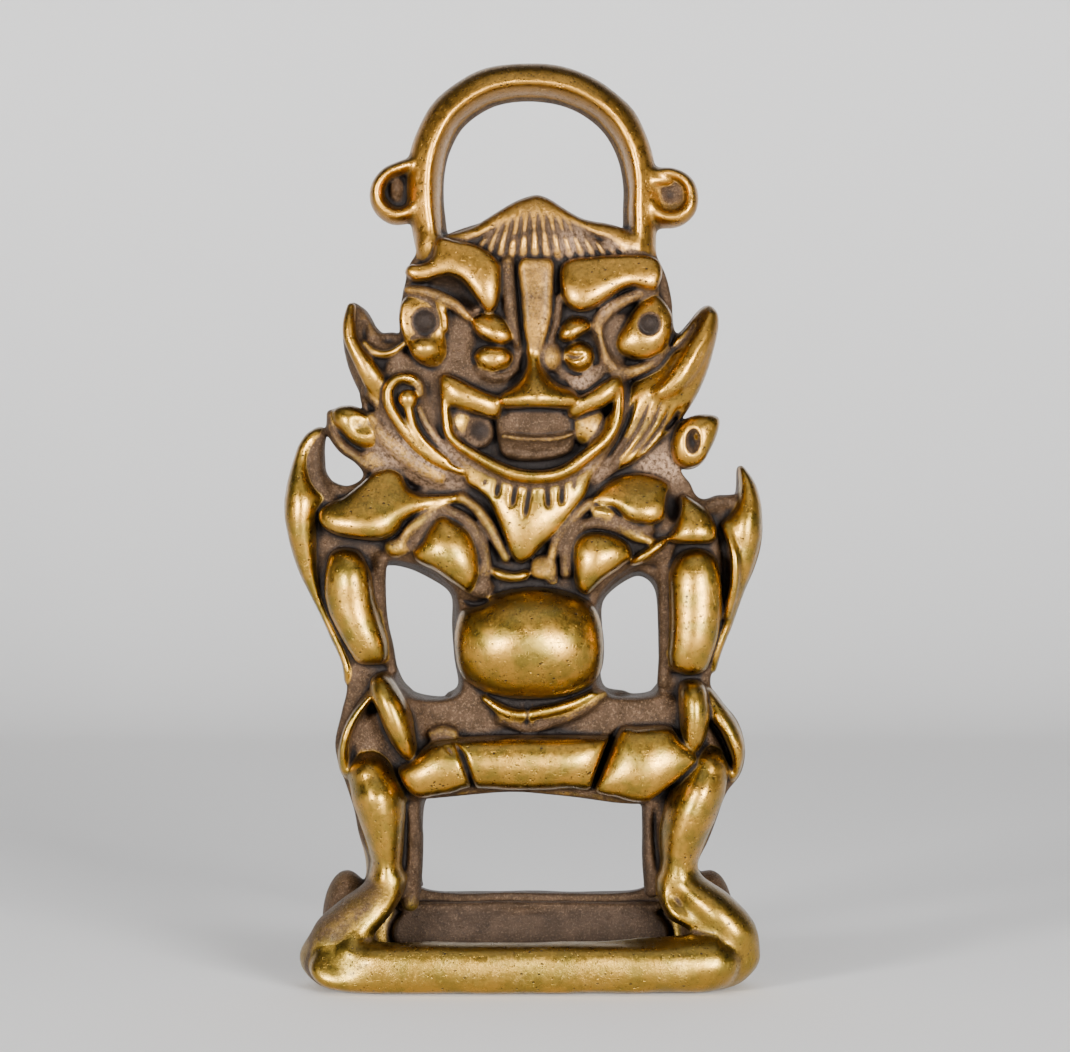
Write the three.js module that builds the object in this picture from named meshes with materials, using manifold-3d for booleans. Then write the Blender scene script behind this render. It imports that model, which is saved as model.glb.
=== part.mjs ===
// A small cast brass pendant: a grotesque guardian squats on an oval foot plate,
// hands on its knees, with a hanging loop over its head. It is one casting.
// The figure faces -Y, its right-hand side of the picture is +X, and it stands on Z = 0.
// Outlines are [x, z] in millimetres as seen from the front; "front" values are
// distances towards the viewer, so a point with front f lies at Y = -f.

import * as THREE from 'three';
import { mergeVertices } from 'three/addons/utils/BufferGeometryUtils.js';
import Module from 'manifold-3d';

const wasm = await Module();
wasm.setup();

// Driving dimensions, in millimetres
const HEIGHT = 63.3;          // foot plate to the top of the hanging loop
const DRAWN_HEIGHT = 63.3;    // height at which the outlines below are drawn
const BASE_DEPTH = 12.8;      // foot plate, front to back
const FLOOR_HEIGHT = 2.0;     // sunken floor between the feet, above the underside
const BODY_BACK = -3.4;       // plane of the back of the trunk
const LIMB_BACK = -2.6;       // back of the arms, wings and leaves
const LOOP_HALF_DEPTH = 2.3;  // hanging loop, half its thickness front to back
const STROKE_DEPTH = 0.3;     // depth of the engraved hair and beard strokes
const STROKE_REACH = 0.9;     // the cutter stands this far out of the metal, to clear its surface
const BAND_ROOT = -0.6;       // Y of the buried back of a raised band, inside the plate under it
const RIM_SAMPLES = 10;       // sides of a domed pad, unless it names its own
const SMALL_PAD = 2.9;        // a pad less tall than this each way gets one ring fewer
const TUBE_SIDES = 6;         // sides of a limb, unless it names its own
const CUT_REACH = 9;          // an opening's cutter reaches this far in front and behind
const FOOT_MIDDLE = 0.4;      // X of the middle of the foot plate
const FOOT_HALF_LENGTH = 15.2;
const FOOT_EDGE = 0.9;        // rounding of the foot plate's rim
const FOOT_SQUARENESS = 0.62; // 1 is an ellipse in plan, less is nearer a rectangle

// Helpers: every form is a closed mesh in [x, -front, z]

function smoothLoop(points, samples) {
  const curve = new THREE.CatmullRomCurve3(
    points.map(([x, z]) => new THREE.Vector3(x, 0, z)), true, 'centripetal');
  return curve.getPoints(samples).slice(0, samples).map((p) => [p.x, p.z]);
}

function toSolid(geometry) {
  const bare = geometry.index ? geometry.clone() : geometry;
  bare.deleteAttribute('normal');
  bare.deleteAttribute('uv');
  const merged = mergeVertices(bare, 1e-4);
  const vertices = new Float32Array(merged.attributes.position.array);
  const triangles = new Uint32Array(merged.index.array);
  let volume = 0;
  const a = new THREE.Vector3();
  const b = new THREE.Vector3();
  const c = new THREE.Vector3();
  for (let i = 0; i < triangles.length; i += 3) {
    a.fromArray(vertices, 3 * triangles[i]);
    b.fromArray(vertices, 3 * triangles[i + 1]);
    c.fromArray(vertices, 3 * triangles[i + 2]);
    volume += a.dot(b.cross(c)) / 6;
  }
  if (volume < 0) {
    for (let i = 0; i < triangles.length; i += 3) {
      [triangles[i + 1], triangles[i + 2]] = [triangles[i + 2], triangles[i + 1]];
    }
  }
  const kept = [];
  for (let i = 0; i < triangles.length; i += 3) {
    const [p, q, r] = triangles.slice(i, i + 3);
    if (p !== q && q !== r && r !== p) kept.push(p, q, r);
  }
  return new wasm.Manifold(new wasm.Mesh({
    numProp: 3, vertProperties: vertices, triVerts: new Uint32Array(kept) }));
}

// A flat-backed layer of metal with softened front and back edges
function plate(outline, back, front, edge, samples = outline.length) {
  const ring = smoothLoop(outline, samples);
  const shape = new THREE.Shape(ring.map(([x, z]) => new THREE.Vector2(x, z)));
  const geometry = new THREE.ExtrudeGeometry(shape, {
    depth: front - back - 2 * edge, bevelEnabled: true, bevelThickness: edge,
    bevelSize: edge, bevelOffset: -edge, bevelSegments: 1, steps: 1 });
  geometry.rotateX(Math.PI / 2);
  geometry.translate(0, -(back + edge), 0);
  return toSolid(geometry);
}

// The space of an opening, wider at the front by its draft
function openSpace(outline, samples, draft) {
  const ring = smoothLoop(outline, samples);
  const shape = new THREE.Shape(ring.map(([x, z]) => new THREE.Vector2(x, z)));
  const geometry = new THREE.ExtrudeGeometry(shape, {
    depth: 2 * CUT_REACH, bevelEnabled: true, bevelThickness: draft, bevelSize: draft,
    bevelOffset: -draft, bevelSegments: 1, steps: 1 });
  geometry.rotateX(Math.PI / 2);
  geometry.translate(0, CUT_REACH, 0);
  return toSolid(geometry);
}

// A domed pad over an outline: low at the rim, highest at the centre, lower edge fullest
function pad(outline, rim, crown, root, { centre = null, full = 0.62, lean = 0, sides = RIM_SAMPLES } = {}) {
  const ring = smoothLoop(outline, sides);
  const mid = centre || [
    ring.reduce((sum, p) => sum + p[0], 0) / sides, ring.reduce((sum, p) => sum + p[1], 0) / sides];
  const tall = Math.max(...ring.map((p) => Math.abs(p[1] - mid[1])));
  const rings = tall < SMALL_PAD ? 2 : 3;
  const rows = rings + 1;
  const geometry = new THREE.SphereGeometry(1, sides, rows);
  const place = geometry.attributes.position;
  for (let row = 0; row <= rows; row += 1) {
    for (let column = 0; column <= sides; column += 1) {
      const angle = row === rows ? Math.PI : (Math.PI * row) / (2 * rings);
      const reach = row === rows ? 0 : Math.sin(angle) ** full;
      const rise = Math.cos(angle);
      const [px, pz] = ring[column % sides];
      const x = mid[0] + reach * (px - mid[0]);
      const z = mid[1] + reach * (pz - mid[1]);
      const tilt = 1 - (lean * (z - mid[1])) / tall;
      const front = rise > 0 ? rim + rise * (crown - rim) * tilt : rim + rise * (rim - root);
      place.setXYZ(row * (sides + 1) + column, x, -front, z);
    }
  }
  return toSolid(geometry);
}

// A limb: an oval section swept along a path of [x, z, front], with its own
// half width and half depth at each point of the path. A rooted one is a raised band:
// its back reaches down into the plate under it.
function limb(path, halfWidths, halfDepths, { steps = 5, sides = TUBE_SIDES, rooted = false } = {}) {
  const spine = new THREE.CatmullRomCurve3(
    path.map(([x, z, front]) => new THREE.Vector3(x, -front, z)), false, 'centripetal');
  const listAt = (list, t) => {
    const place = Math.min(t, 0.99999) * (list.length - 1);
    const low = Math.floor(place);
    return list[low] + (place - low) * (list[low + 1] - list[low]);
  };
  const geometry = new THREE.CylinderGeometry(1, 1, 1, sides, steps);
  const place = geometry.attributes.position;
  for (let i = 0; i < place.count; i += 1) {
    const t = 0.5 - place.getY(i);        // 0 at the path's start, 1 at its end
    const point = spine.getPoint(t);
    const along = spine.getTangent(t);
    const side = new THREE.Vector3(along.z, 0, -along.x).normalize();
    const out = new THREE.Vector3().crossVectors(along, side).normalize();
    point.addScaledVector(side, place.getX(i) * listAt(halfWidths, t));
    const buried = rooted && place.getZ(i) > 0;
    const depth = buried ? BAND_ROOT - point.y : listAt(halfDepths, t);
    point.addScaledVector(out, place.getZ(i) * depth);
    place.setXYZ(i, point.x, point.y, point.z);
  }
  return toSolid(geometry);
}

// An oval lump, for knobs, eye pits and the masses of the back
function lump([x, z, front], [halfWidth, halfHeight, halfDepth], sides = 7, rows = 4) {
  const geometry = new THREE.SphereGeometry(1, sides, rows);
  geometry.rotateX(Math.PI / 2);
  geometry.scale(halfWidth, halfDepth, halfHeight);
  geometry.translate(x, -front, z);
  return toSolid(geometry);
}

// An engraved stroke: a thin spindle cut into the front at the given front value
function stroke(from, to, front, width = 0.2) {
  const half = (STROKE_DEPTH + STROKE_REACH) / 2;
  const centre = front + STROKE_REACH - half;
  return limb([[...from, centre], [...to, centre]], [width, width], [half, half], { steps: 1, sides: 4 });
}

const added = [];             // what the figure is built up from
const openings = [];          // the spaces that go right through it
const engraved = [];          // what is cut into its surface
const setIn = [];             // small forms that stand inside an engraved hollow
const add = (form) => added.push(form);
const engrave = (form) => engraved.push(form);
const setInside = (form) => setIn.push(form);

// The trunk: one plate through the shoulders, arms, hips and legs, open between them

const bodySide = {
  left: [[-5.4, 35.4], [-8.5, 35.9], [-10.9, 35.7], [-11.2, 34.7], [-12.2, 34.2], [-13.1, 34.4],
    [-14.2, 34.7], [-15.2, 35.0], [-16.0, 34.6], [-16.4, 33.6], [-16.4, 31.8], [-15.9, 29.7],
    [-15.3, 27.8], [-14.5, 26.5], [-13.6, 24.7], [-12.7, 23.0], [-12.2, 21.5], [-12.2, 20.1],
    [-12.6, 18.6], [-13.0, 16.5], [-12.7, 14.9], [-12.3, 13.8], [-11.8, 12.2], [-11.3, 10.1],
    [-10.5, 8.5], [-10.6, 6.6]],
  right: [[12.0, 6.6], [11.7, 8.1], [12.5, 9.3], [13.3, 11.2], [14.0, 13.1], [14.6, 13.9],
    [15.0, 14.5], [15.3, 15.8], [15.1, 17.1], [14.4, 18.5], [13.2, 19.6], [12.9, 20.3],
    [12.9, 21.1], [13.4, 22.5], [14.3, 24.4], [15.0, 26.5], [15.9, 28.4], [16.4, 30.2],
    [16.4, 32.0], [15.9, 33.2], [15.2, 33.7], [14.5, 33.5], [13.7, 33.1], [12.8, 33.0],
    [11.9, 33.5], [11.3, 34.6], [9.3, 35.4], [5.2, 34.8]],
};
const armOpenings = {
  left: [[-9.9, 28.5], [-8.0, 28.5], [-6.2, 27.7], [-5.1, 26.6], [-4.9, 24.7], [-4.8, 22.3],
    [-4.7, 20.2], [-6.4, 19.8], [-8.0, 20.3], [-8.8, 21.5], [-9.4, 24.2], [-9.9, 26.7]],
  right: [[7.8, 28.0], [8.6, 27.7], [9.1, 27.0], [9.3, 24.7], [9.4, 22.3], [9.3, 20.6],
    [8.8, 20.1], [7.0, 20.0], [5.7, 20.2], [5.4, 20.8], [5.4, 23.0], [5.3, 25.7], [6.0, 26.8]],
};
const legOpening = [[-6.7, 12.6], [-5.8, 12.8], [-1.7, 13.0], [3.9, 12.7], [8.1, 12.4], [8.2, 9.1],
  [8.2, 6.2], [5.3, 5.9], [-0.3, 5.8], [-5.8, 5.9], [-6.9, 6.3], [-7.0, 9.1]];

function trunk() {
  const outline = [...bodySide.left, [-9.5, 3], [11, 3], ...bodySide.right];
  return plate(outline, LIMB_BACK, 0.9, 0.45, 50);
}
for (const opening of [armOpenings.left, armOpenings.right, legOpening]) {
  openings.push(openSpace(opening, 14, 0.02));
}
add(plate([[-4.7, 33], [-4.8, 20.5], [-8.4, 19], [-11, 17], [-10, 13.9], [-6, 13.2], [8, 13.2], [13, 14.6],
  [13.2, 17.5], [9, 19.6], [5.4, 20.4], [5.3, 33]], BODY_BACK, 1.9, 0.6));

// The foot plate: an oval bar with a rolled front edge and a hollow floor between the feet

function sunkenFloor() {
  const halfLength = 11.2;
  const halfDepth = 3.2;
  const corner = 1.6;
  const upTo = 5.9;           // clear of the foot plate's top
  const forward = 0.9;        // the hollow lies this much nearer the viewer than the plate's middle
  const plan = [[-halfLength, -corner], [corner - halfLength, -halfDepth], [halfLength - corner, -halfDepth],
    [halfLength, -corner], [halfLength, corner], [halfLength - corner, halfDepth],
    [corner - halfLength, halfDepth], [-halfLength, corner]];
  const geometry = new THREE.ExtrudeGeometry(new THREE.Shape(plan.map(([x, y]) => new THREE.Vector2(x, y))), {
    depth: upTo - FLOOR_HEIGHT, bevelEnabled: false, steps: 1 });
  geometry.translate(FOOT_MIDDLE, -forward, FLOOR_HEIGHT);
  return toSolid(geometry);
}

function footPlate() {
  const height = 3.4;
  const samples = 24;
  const squared = (value) => Math.sign(value) * Math.abs(value) ** FOOT_SQUARENESS;
  const plan = [];
  for (let i = 0; i < samples; i += 1) {
    const angle = (2 * Math.PI * i) / samples;
    const x = FOOT_MIDDLE + FOOT_HALF_LENGTH * squared(Math.cos(angle));
    plan.push(new THREE.Vector2(x, (BASE_DEPTH / 2) * squared(Math.sin(angle))));
  }
  const geometry = new THREE.ExtrudeGeometry(new THREE.Shape(plan), {
    depth: height - 2 * FOOT_EDGE, bevelEnabled: true, bevelThickness: FOOT_EDGE, bevelSize: FOOT_EDGE,
    bevelOffset: -FOOT_EDGE, bevelSegments: 2, steps: 1 });
  geometry.translate(0, 0, FOOT_EDGE);
  return toSolid(geometry);
}
add(trunk().add(footPlate()).subtract(sunkenFloor()));
add(limb([[-13.9, 2.0, 0], [-13.6, 1.9, 2.6], [-12.2, 1.7, 4.1], [-8, 1.6, 4.65], [-2, 1.6, 4.65],
  [5, 1.8, 4.65], [10.5, 2.0, 4.6], [13.4, 2.1, 3.4], [14.2, 2.3, 0]],
[1.3, 1.5, 1.6, 1.5, 1.45, 1.6, 1.8, 1.7, 1.4], [1.3, 1.5, 1.6, 1.65, 1.65, 1.65, 1.7, 1.7, 1.4], { steps: 11 }));
add(plate([[-11.5, 2], [-10.4, 7.4], [-8.4, 7], [-7, 6], [8.2, 6], [9.6, 7], [11.7, 7.4], [12.8, 2]],
  -4.8, -2.2, 0.5));
for (const [ankle, heel] of [[-9.5, -13.4], [10.5, 14.0]]) {
  add(limb([[ankle, 8.2, 1.2], [(ankle + heel) / 2, 5.9, 2.1], [heel, 2.7, 2.2]],
    [1.0, 1.8, 1.5], [2.2, 2.6, 2.2], { steps: 5, sides: 7 }));
}

// Legs and knees

add(limb([[-10.5, 15.4, 1.4], [-10.2, 13.4, 1.7], [-9.8, 10.8, 1.5], [-9.5, 8.2, 1.1], [-9.9, 5.6, 1.4]],
  [1.3, 1.8, 1.55, 1.0, 1.2], [2.2, 3.0, 2.8, 2.4, 2.6], { steps: 6, sides: 7 }));
add(limb([[12.9, 16.2, 1.0], [12.5, 14.2, 1.5], [11.6, 11.8, 1.5], [10.5, 8.8, 1.1], [11.0, 5.6, 1.5]],
  [0.8, 1.5, 1.85, 1.3, 1.3], [2.0, 2.9, 3.0, 2.6, 2.6], { steps: 6, sides: 7 }));
add(pad([[-11.0, 19.9], [-12.3, 18.4], [-12.9, 16.5], [-12.8, 14.8], [-12.3, 14.9], [-12.1, 16.6], [-11.5, 18.6]],
  0.9, 2.5, -2.2, { full: 0.5, sides: 9, centre: [-12.2, 16.9] }));
add(pad([[12.5, 20.6], [13.9, 19.4], [14.9, 17.8], [15.3, 15.9], [14.8, 14.2], [14.2, 14.8], [14.1, 16.6],
  [13.3, 18.6], [12.4, 19.8]], 0.9, 3.0, -2.2, { full: 0.5, sides: 10, centre: [14.3, 17.3] }));

// Hips: a belt between two thighs, each a full domed pad

const belt = [[-4.0, 16.4], [-2.6, 17.0], [0.5, 17.3], [3.6, 17.35], [5.5, 17.1], [4.9, 15.2], [4.0, 13.6],
  [1.5, 13.4], [-1.5, 13.5], [-3.0, 14.0], [-3.4, 15.0]];
const thighs = {
  left: [[-8.9, 15.1], [-7.6, 15.9], [-6.4, 17.0], [-5.1, 16.9], [-4.5, 15.7], [-4.0, 13.8],
    [-5.8, 13.3], [-7.4, 13.3], [-8.4, 14.3]],
  right: [[6.3, 17.6], [8.1, 18.1], [9.6, 17.9], [10.9, 16.6], [12.1, 15.9], [11.4, 14.8],
    [9.6, 13.5], [7.3, 13.0], [5.0, 13.6], [5.0, 14.8], [5.8, 16.5]],
};
add(pad(belt, 3.2, 5.2, 0, { full: 0.35, lean: 0.1 }));
add(pad(thighs.left, 3.0, 4.9, 0, { full: 0.4, lean: 0.1 }));
add(pad(thighs.right, 3.1, 5.2, 0, { full: 0.4, lean: 0.1 }));

// Belly, with the two folds under it

add(pad([[-4.8, 23.2], [-4.4, 25.6], [-3.3, 26.8], [0.2, 27.0], [3.9, 26.7], [5.0, 25.6], [5.3, 23.2],
  [4.9, 21.1], [3.4, 20.0], [0.3, 19.7], [-2.9, 20.1], [-4.4, 21.1]], 2.6, 5.9, 0, { full: 0.45, sides: 11 }));
for (const [drop, front] of [[0, 2.9], [-0.7, 2.5]]) {
  add(limb([[-3.7, 19.7 + drop, front - 0.6], [0.3, 18.8 + drop, front], [4.6, 19.7 + drop, front - 0.6]],
    [0.15, 0.34, 0.15], [0.4, 0.5, 0.4], { steps: 5, sides: 4, rooted: true }));
}

// Arms: a long pad for each upper arm, a pointed one for each forearm

const upperArms = {
  left: [[-12.5, 29.7], [-13.2, 29.5], [-13.6, 28.2], [-13.5, 26.6], [-13.0, 25.2], [-12.1, 23.4],
    [-11.2, 22.2], [-10.3, 22.1], [-9.4, 22.5], [-9.6, 24.4], [-10.2, 26.6], [-10.9, 28.6], [-11.5, 29.5]],
  right: [[11.9, 29.6], [10.8, 29.2], [10.3, 28.2], [10.3, 26.6], [10.3, 24.2], [10.1, 22.5], [10.5, 21.7],
    [11.4, 21.5], [12.3, 21.8], [12.8, 22.9], [13.2, 24.1], [13.4, 26.0], [13.3, 28.0], [12.8, 29.1]],
};
const forearms = {
  left: [[-9.9, 21.6], [-10.4, 20.8], [-10.2, 19.4], [-9.6, 17.9], [-8.9, 16.6], [-8.0, 15.6],
    [-7.5, 15.6], [-7.4, 16.5], [-7.6, 18.6], [-8.3, 20.1], [-9.1, 21.1]],
  right: [[10.6, 20.8], [10.7, 19.0], [10.8, 17.1], [11.1, 16.3], [11.5, 16.1], [11.9, 16.7],
    [12.5, 17.8], [12.5, 19.2], [12.3, 20.2], [11.7, 21.0]],
};
for (const side of ['left', 'right']) {
  add(pad(upperArms[side], 2.1, 4.2, 0, { full: 0.42 }));
  add(pad(forearms[side], 2.4, 4.7, 0, { full: 0.5, sides: 10 }));
}

// Shoulder wings with hooked tips, and the domed shoulder plates between them

const wings = [
  { crown: 2.7, middle: [-15.3, 30.6],
    outline: [[-13.9, 38.1], [-15.2, 37.4], [-16.1, 35.2], [-16.5, 32.6], [-16.0, 29.7], [-15.0, 27.2],
      [-13.7, 24.6], [-12.3, 20.9], [-12.5, 23.2], [-13.7, 26.0], [-14.2, 29.0], [-14.1, 32.6],
      [-14.9, 34.6], [-14.7, 36.6]] },
  { crown: 2.8, middle: [15.2, 29.8],
    outline: [[14.9, 35.5], [15.9, 34.2], [16.4, 32.2], [16.1, 29.8], [15.3, 27.2], [14.3, 24.5],
      [13.1, 21.4], [13.5, 24.4], [14.2, 27.4], [14.0, 30.8], [14.3, 32.4], [14.9, 33.9]] },
];
for (const { crown, middle, outline } of wings) {
  add(pad(outline, 0.7, crown, -2.4, { full: 0.5, sides: 13, centre: middle }));
}
add(pad([[-13.8, 32.2], [-12.6, 33.1], [-10.9, 34.1], [-9.4, 35.1], [-8.0, 35.0], [-7.3, 34.0],
  [-6.2, 33.6], [-6.9, 32.9], [-8.2, 32.1], [-8.9, 31.0], [-10.0, 30.5], [-11.9, 30.5], [-13.5, 31.1]],
2.5, 4.2, 0, { full: 0.4, lean: 0.4, centre: [-9.8, 32.6] }));
add(limb([[-8.0, 32.9, 3.2], [-5.8, 33.4, 3.1], [-3.8, 33.4, 2.7]], [0.5, 0.35, 0.15], [0.7, 0.6, 0.3],
  { steps: 3, sides: 5, rooted: true }));
add(pad([[5.0, 33.8], [7.0, 35.0], [8.7, 35.3], [9.9, 34.9], [10.1, 33.5], [9.5, 31.9], [8.1, 31.4],
  [6.8, 31.8], [5.7, 32.8]], 2.4, 4.0, 0, { full: 0.4, lean: 0.4, sides: 10 }));
add(pad([[10.7, 33.4], [11.7, 32.8], [12.8, 31.9], [13.4, 30.8], [12.8, 30.4], [11.2, 30.3], [9.8, 30.4],
  [10.4, 31.6]], 2.4, 3.9, 0, { full: 0.4, lean: 0.4, sides: 9 }));
add(pad([[6.9, 28.8], [8.2, 30.0], [9.6, 30.7], [9.9, 30.2], [8.7, 29.3], [7.3, 28.6]], 2.2, 3.4, 0,
  { full: 0.4, sides: 8 }));

// Chest: two rounded plates beside the point of the beard, and a collar below it

add(plate([[-8.0, 33.0], [-9.0, 30.6], [-8.6, 28.6], [-6.4, 28.0], [-4.6, 26.6], [5.2, 26.6], [6.4, 27.6],
  [7.8, 28.4], [9.6, 29.0], [9.8, 33.0]], BODY_BACK, 1.9, 0.5));
add(pad([[-7.6, 29.6], [-6.8, 31.2], [-5.5, 32.1], [-4.2, 31.5], [-3.3, 30.0], [-3.2, 27.8],
  [-3.9, 27.0], [-5.2, 28.0], [-6.7, 29.0]], 2.8, 4.4, 0, { full: 0.4, lean: 0.15 }));
add(pad([[3.4, 30.4], [4.4, 31.0], [6.3, 30.8], [7.3, 29.9], [6.2, 28.6], [4.9, 27.4],
  [3.8, 27.2], [3.4, 28.7]], 2.7, 4.3, 0, { full: 0.4, lean: 0.15 }));
add(pad([[-2.3, 28.6], [0.1, 28.5], [0.2, 27.6], [-2.2, 27.6]], 2.4, 3.3, 0, { sides: 6 }));
add(pad([[0.8, 29.3], [2.1, 29.3], [2.2, 27.9], [0.8, 27.9]], 2.4, 3.3, 0, { sides: 6 }));
add(limb([[-5.1, 32.8, 2.1], [-3.3, 32.0, 2.5], [-2.4, 29.6, 2.6], [-2.6, 27.6, 2.3]],
  [0.3, 0.45, 0.45, 0.35], [0.5, 0.6, 0.6, 0.5], { steps: 4, sides: 5, rooted: true }));
add(limb([[5.4, 32.4, 2.1], [3.6, 31.8, 2.5], [2.7, 29.8, 2.6], [2.9, 27.6, 2.3]],
  [0.3, 0.45, 0.45, 0.35], [0.5, 0.6, 0.6, 0.5], { steps: 4, sides: 5, rooted: true }));

// Head: a thick plate with the jaw, cheeks and temples

const headOutline = [[-7.8, 49.5], [-6.3, 50.9], [-3.7, 52.0], [0.9, 52.6], [5.5, 52.0], [8.3, 50.9],
  [9.6, 49.1], [10.2, 46.9], [10.2, 44.6], [11.2, 43.1], [11.5, 41.5], [11.2, 39.5], [10.4, 38.0],
  [10.8, 35.4], [10.9, 34.0], [5.2, 33.2], [1.1, 33.0], [-3.0, 33.2], [-6.4, 34.2], [-9.6, 35.2],
  [-11.2, 36.2], [-10.9, 38.5], [-11.3, 40.4], [-11.2, 41.8], [-9.8, 42.7], [-8.7, 44.1], [-8.5, 46.3],
  [-8.2, 48.0]];
add(plate(headOutline, LIMB_BACK - 0.4, 1.4, 0.5, 26));
add(plate([[-6.4, 48.4], [-4.6, 50.8], [7.0, 50.8], [8.8, 48.6], [6.8, 45.8], [6.3, 42], [8.2, 38],
  [5.6, 34.6], [-3.6, 34.6], [-6.6, 38], [-5.0, 42.5], [-5.4, 45.6]], BODY_BACK - 0.6, 2.3, 0.6, 14));

// Hair: a low crest with fanned strokes

add(pad([[-5.2, 51.4], [-2.5, 52.1], [-1.3, 53.1], [0.9, 54.0], [3.0, 53.1], [4.4, 52.3], [7.2, 51.6],
  [8.0, 50.4], [5.2, 49.5], [1.4, 49.4], [-1.6, 49.5], [-4.6, 50.0]],
1.9, 3.4, -2.4, { full: 0.45, lean: -0.1, centre: [1.0, 51.0] }));
for (let i = -3; i <= 3; i += 1) {
  engrave(stroke([0.9 + 0.75 * i, 52.8 - 0.14 * i * i], [1.0 + 1.15 * i, 50.0], 3.2 - 0.05 * i * i, 0.18));
}

// Brows, forehead strip and nose

add(pad([[-6.2, 49.9], [-5.6, 50.6], [-3.4, 50.4], [-2.0, 49.5], [-1.6, 48.2], [-1.8, 46.4],
  [-2.5, 45.8], [-3.7, 47.3], [-5.2, 48.3], [-7.5, 47.9], [-7.9, 48.8], [-6.8, 49.2]],
3.2, 4.4, 0, { full: 0.4, lean: 0.2, centre: [-3.9, 48.9], sides: 11 }));
add(pad([[2.6, 49.0], [3.4, 49.6], [6.2, 49.7], [8.8, 49.7], [9.5, 48.7], [8.9, 47.7],
  [7.0, 47.4], [5.6, 46.5], [4.2, 45.9], [2.9, 46.2], [2.6, 47.4]],
3.2, 4.4, 0, { full: 0.4, lean: 0.2, centre: [5.4, 48.3] }));
for (const socket of [[-4.9, 47.0, 3.2], [6.4, 46.8, 3.2]]) engrave(lump(socket, [2.3, 1.0, 1.6], 7, 4));
add(limb([[0.6, 49.4, 3.0], [0.6, 46.8, 3.3], [0.7, 43.8, 3.6]], [0.75, 0.6, 0.4], [0.6, 0.7, 0.9],
  { steps: 3, sides: 6, rooted: true }));
for (const side of [-1, 1]) {
  add(limb([[0.65 + side * 1.5, 49.4, 2.7], [0.65 + side * 1.35, 46.8, 2.8], [0.7 + side * 1.0, 43.6, 3.1]],
    [0.4, 0.35, 0.25], [0.4, 0.4, 0.4], { steps: 3, sides: 5, rooted: true }));
}
add(pad([[0.5, 44.2], [1.1, 43.2], [1.7, 41.9], [2.4, 40.8], [3.6, 40.2], [3.5, 39.4], [2.4, 39.1],
  [0.9, 39.2], [-0.6, 39.1], [-1.7, 39.3], [-1.6, 40.0], [-0.7, 40.7], [-0.1, 41.7], [0.2, 43.0]],
2.8, 5.6, 0, { full: 0.55, centre: [0.85, 40.4], lean: 0.3 }));

// Eyes: a drilled outer pair and a half-closed inner pair

const outerEyes = [
  { mound: [[-8.1, 47.4], [-8.5, 46.0], [-8.3, 44.4], [-7.6, 43.0], [-6.4, 42.2], [-5.0, 42.7],
    [-5.0, 44.6], [-5.3, 46.4], [-6.2, 47.4]], pit: [-6.75, 45.5] },
  { mound: [[8.9, 47.3], [10.0, 46.2], [10.1, 44.4], [9.2, 43.0], [7.6, 42.6], [6.4, 43.3],
    [6.4, 44.8], [7.2, 46.3], [7.9, 47.0]], pit: [8.7, 45.35] },
];
for (const { mound, pit } of outerEyes) {
  add(pad(mound, 2.0, 3.6, 0, { full: 0.45 }));
  engrave(lump([...pit, 3.9], [0.85, 0.9, 1.3], 6, 4));
}
for (const socket of [[-2.4, 43.4, 3.4], [4.0, 43.5, 3.4]]) engrave(lump(socket, [1.7, 1.9, 1.9], 8, 4));
const innerEyes = [
  { lid: [[-3.6, 45.1], [-3.1, 45.7], [-1.9, 45.7], [-0.9, 44.1], [-1.3, 43.7], [-3.2, 44.3]],
    eye: [[-3.5, 43.2], [-2.6, 43.7], [-0.8, 43.1], [-0.9, 42.1], [-2.2, 41.9], [-3.2, 42.3]] },
  { lid: [[2.4, 44.1], [2.9, 45.1], [4.2, 45.5], [4.7, 44.9], [3.7, 44.0], [2.8, 43.8]],
    eye: [[2.8, 43.2], [3.7, 43.8], [4.9, 43.2], [4.7, 42.2], [3.6, 42.0], [2.9, 42.4]] },
];
for (const { lid, eye } of innerEyes) {
  setInside(pad(lid, 2.4, 3.8, 0, { sides: 8 }));
  setInside(pad(eye, 1.8, 3.2, 0, { sides: 8 }));
}

// Mouth: two raised corners, a rim below and a hollow between

add(pad([[-5.7, 41.9], [-4.6, 41.6], [-2.9, 40.9], [-1.5, 40.2], [-1.7, 39.2], [-2.6, 38.8], [-4.4, 39.3],
  [-5.4, 40.2]], 2.9, 4.4, 0, { full: 0.42, sides: 10 }));
add(pad([[3.1, 39.9], [4.5, 40.7], [6.1, 41.8], [6.8, 41.5], [6.5, 40.3], [5.1, 39.1], [4.1, 38.6],
  [3.1, 38.7]], 2.9, 4.4, 0, { full: 0.42, sides: 10 }));
engrave(pad([[-4.9, 39.6], [-3.7, 39.2], [-2.0, 39.0], [1.1, 38.9], [3.5, 38.9], [5.9, 39.6], [5.9, 38.1],
  [4.0, 36.9], [2.5, 35.9], [0.9, 35.6], [-0.9, 35.8], [-2.6, 36.6], [-4.4, 37.4], [-4.9, 38.4]],
3.6, 4.4, 1.9, { full: 0.3, sides: 9 }));
add(limb([[-5.3, 41.3, 3.4], [-5.4, 39.7, 3.3], [-5.3, 38.0, 3.2], [-4.6, 36.8, 3.4], [-1.6, 35.5, 3.9],
  [0.9, 35.0, 4.0], [2.9, 35.4, 3.9], [5.9, 37.7, 3.4], [6.5, 39.2, 3.3], [6.5, 41.0, 3.4]],
[0.3, 0.33, 0.36, 0.4, 0.4, 0.42, 0.4, 0.4, 0.36, 0.3], [0.7, 0.8, 0.8, 0.8, 0.7, 0.7, 0.7, 0.8, 0.8, 0.7],
{ steps: 9, sides: 4, rooted: true }));
setInside(lump([-4.5, 38.3, 2.0], [0.75, 0.8, 0.9], 6, 4));
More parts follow.
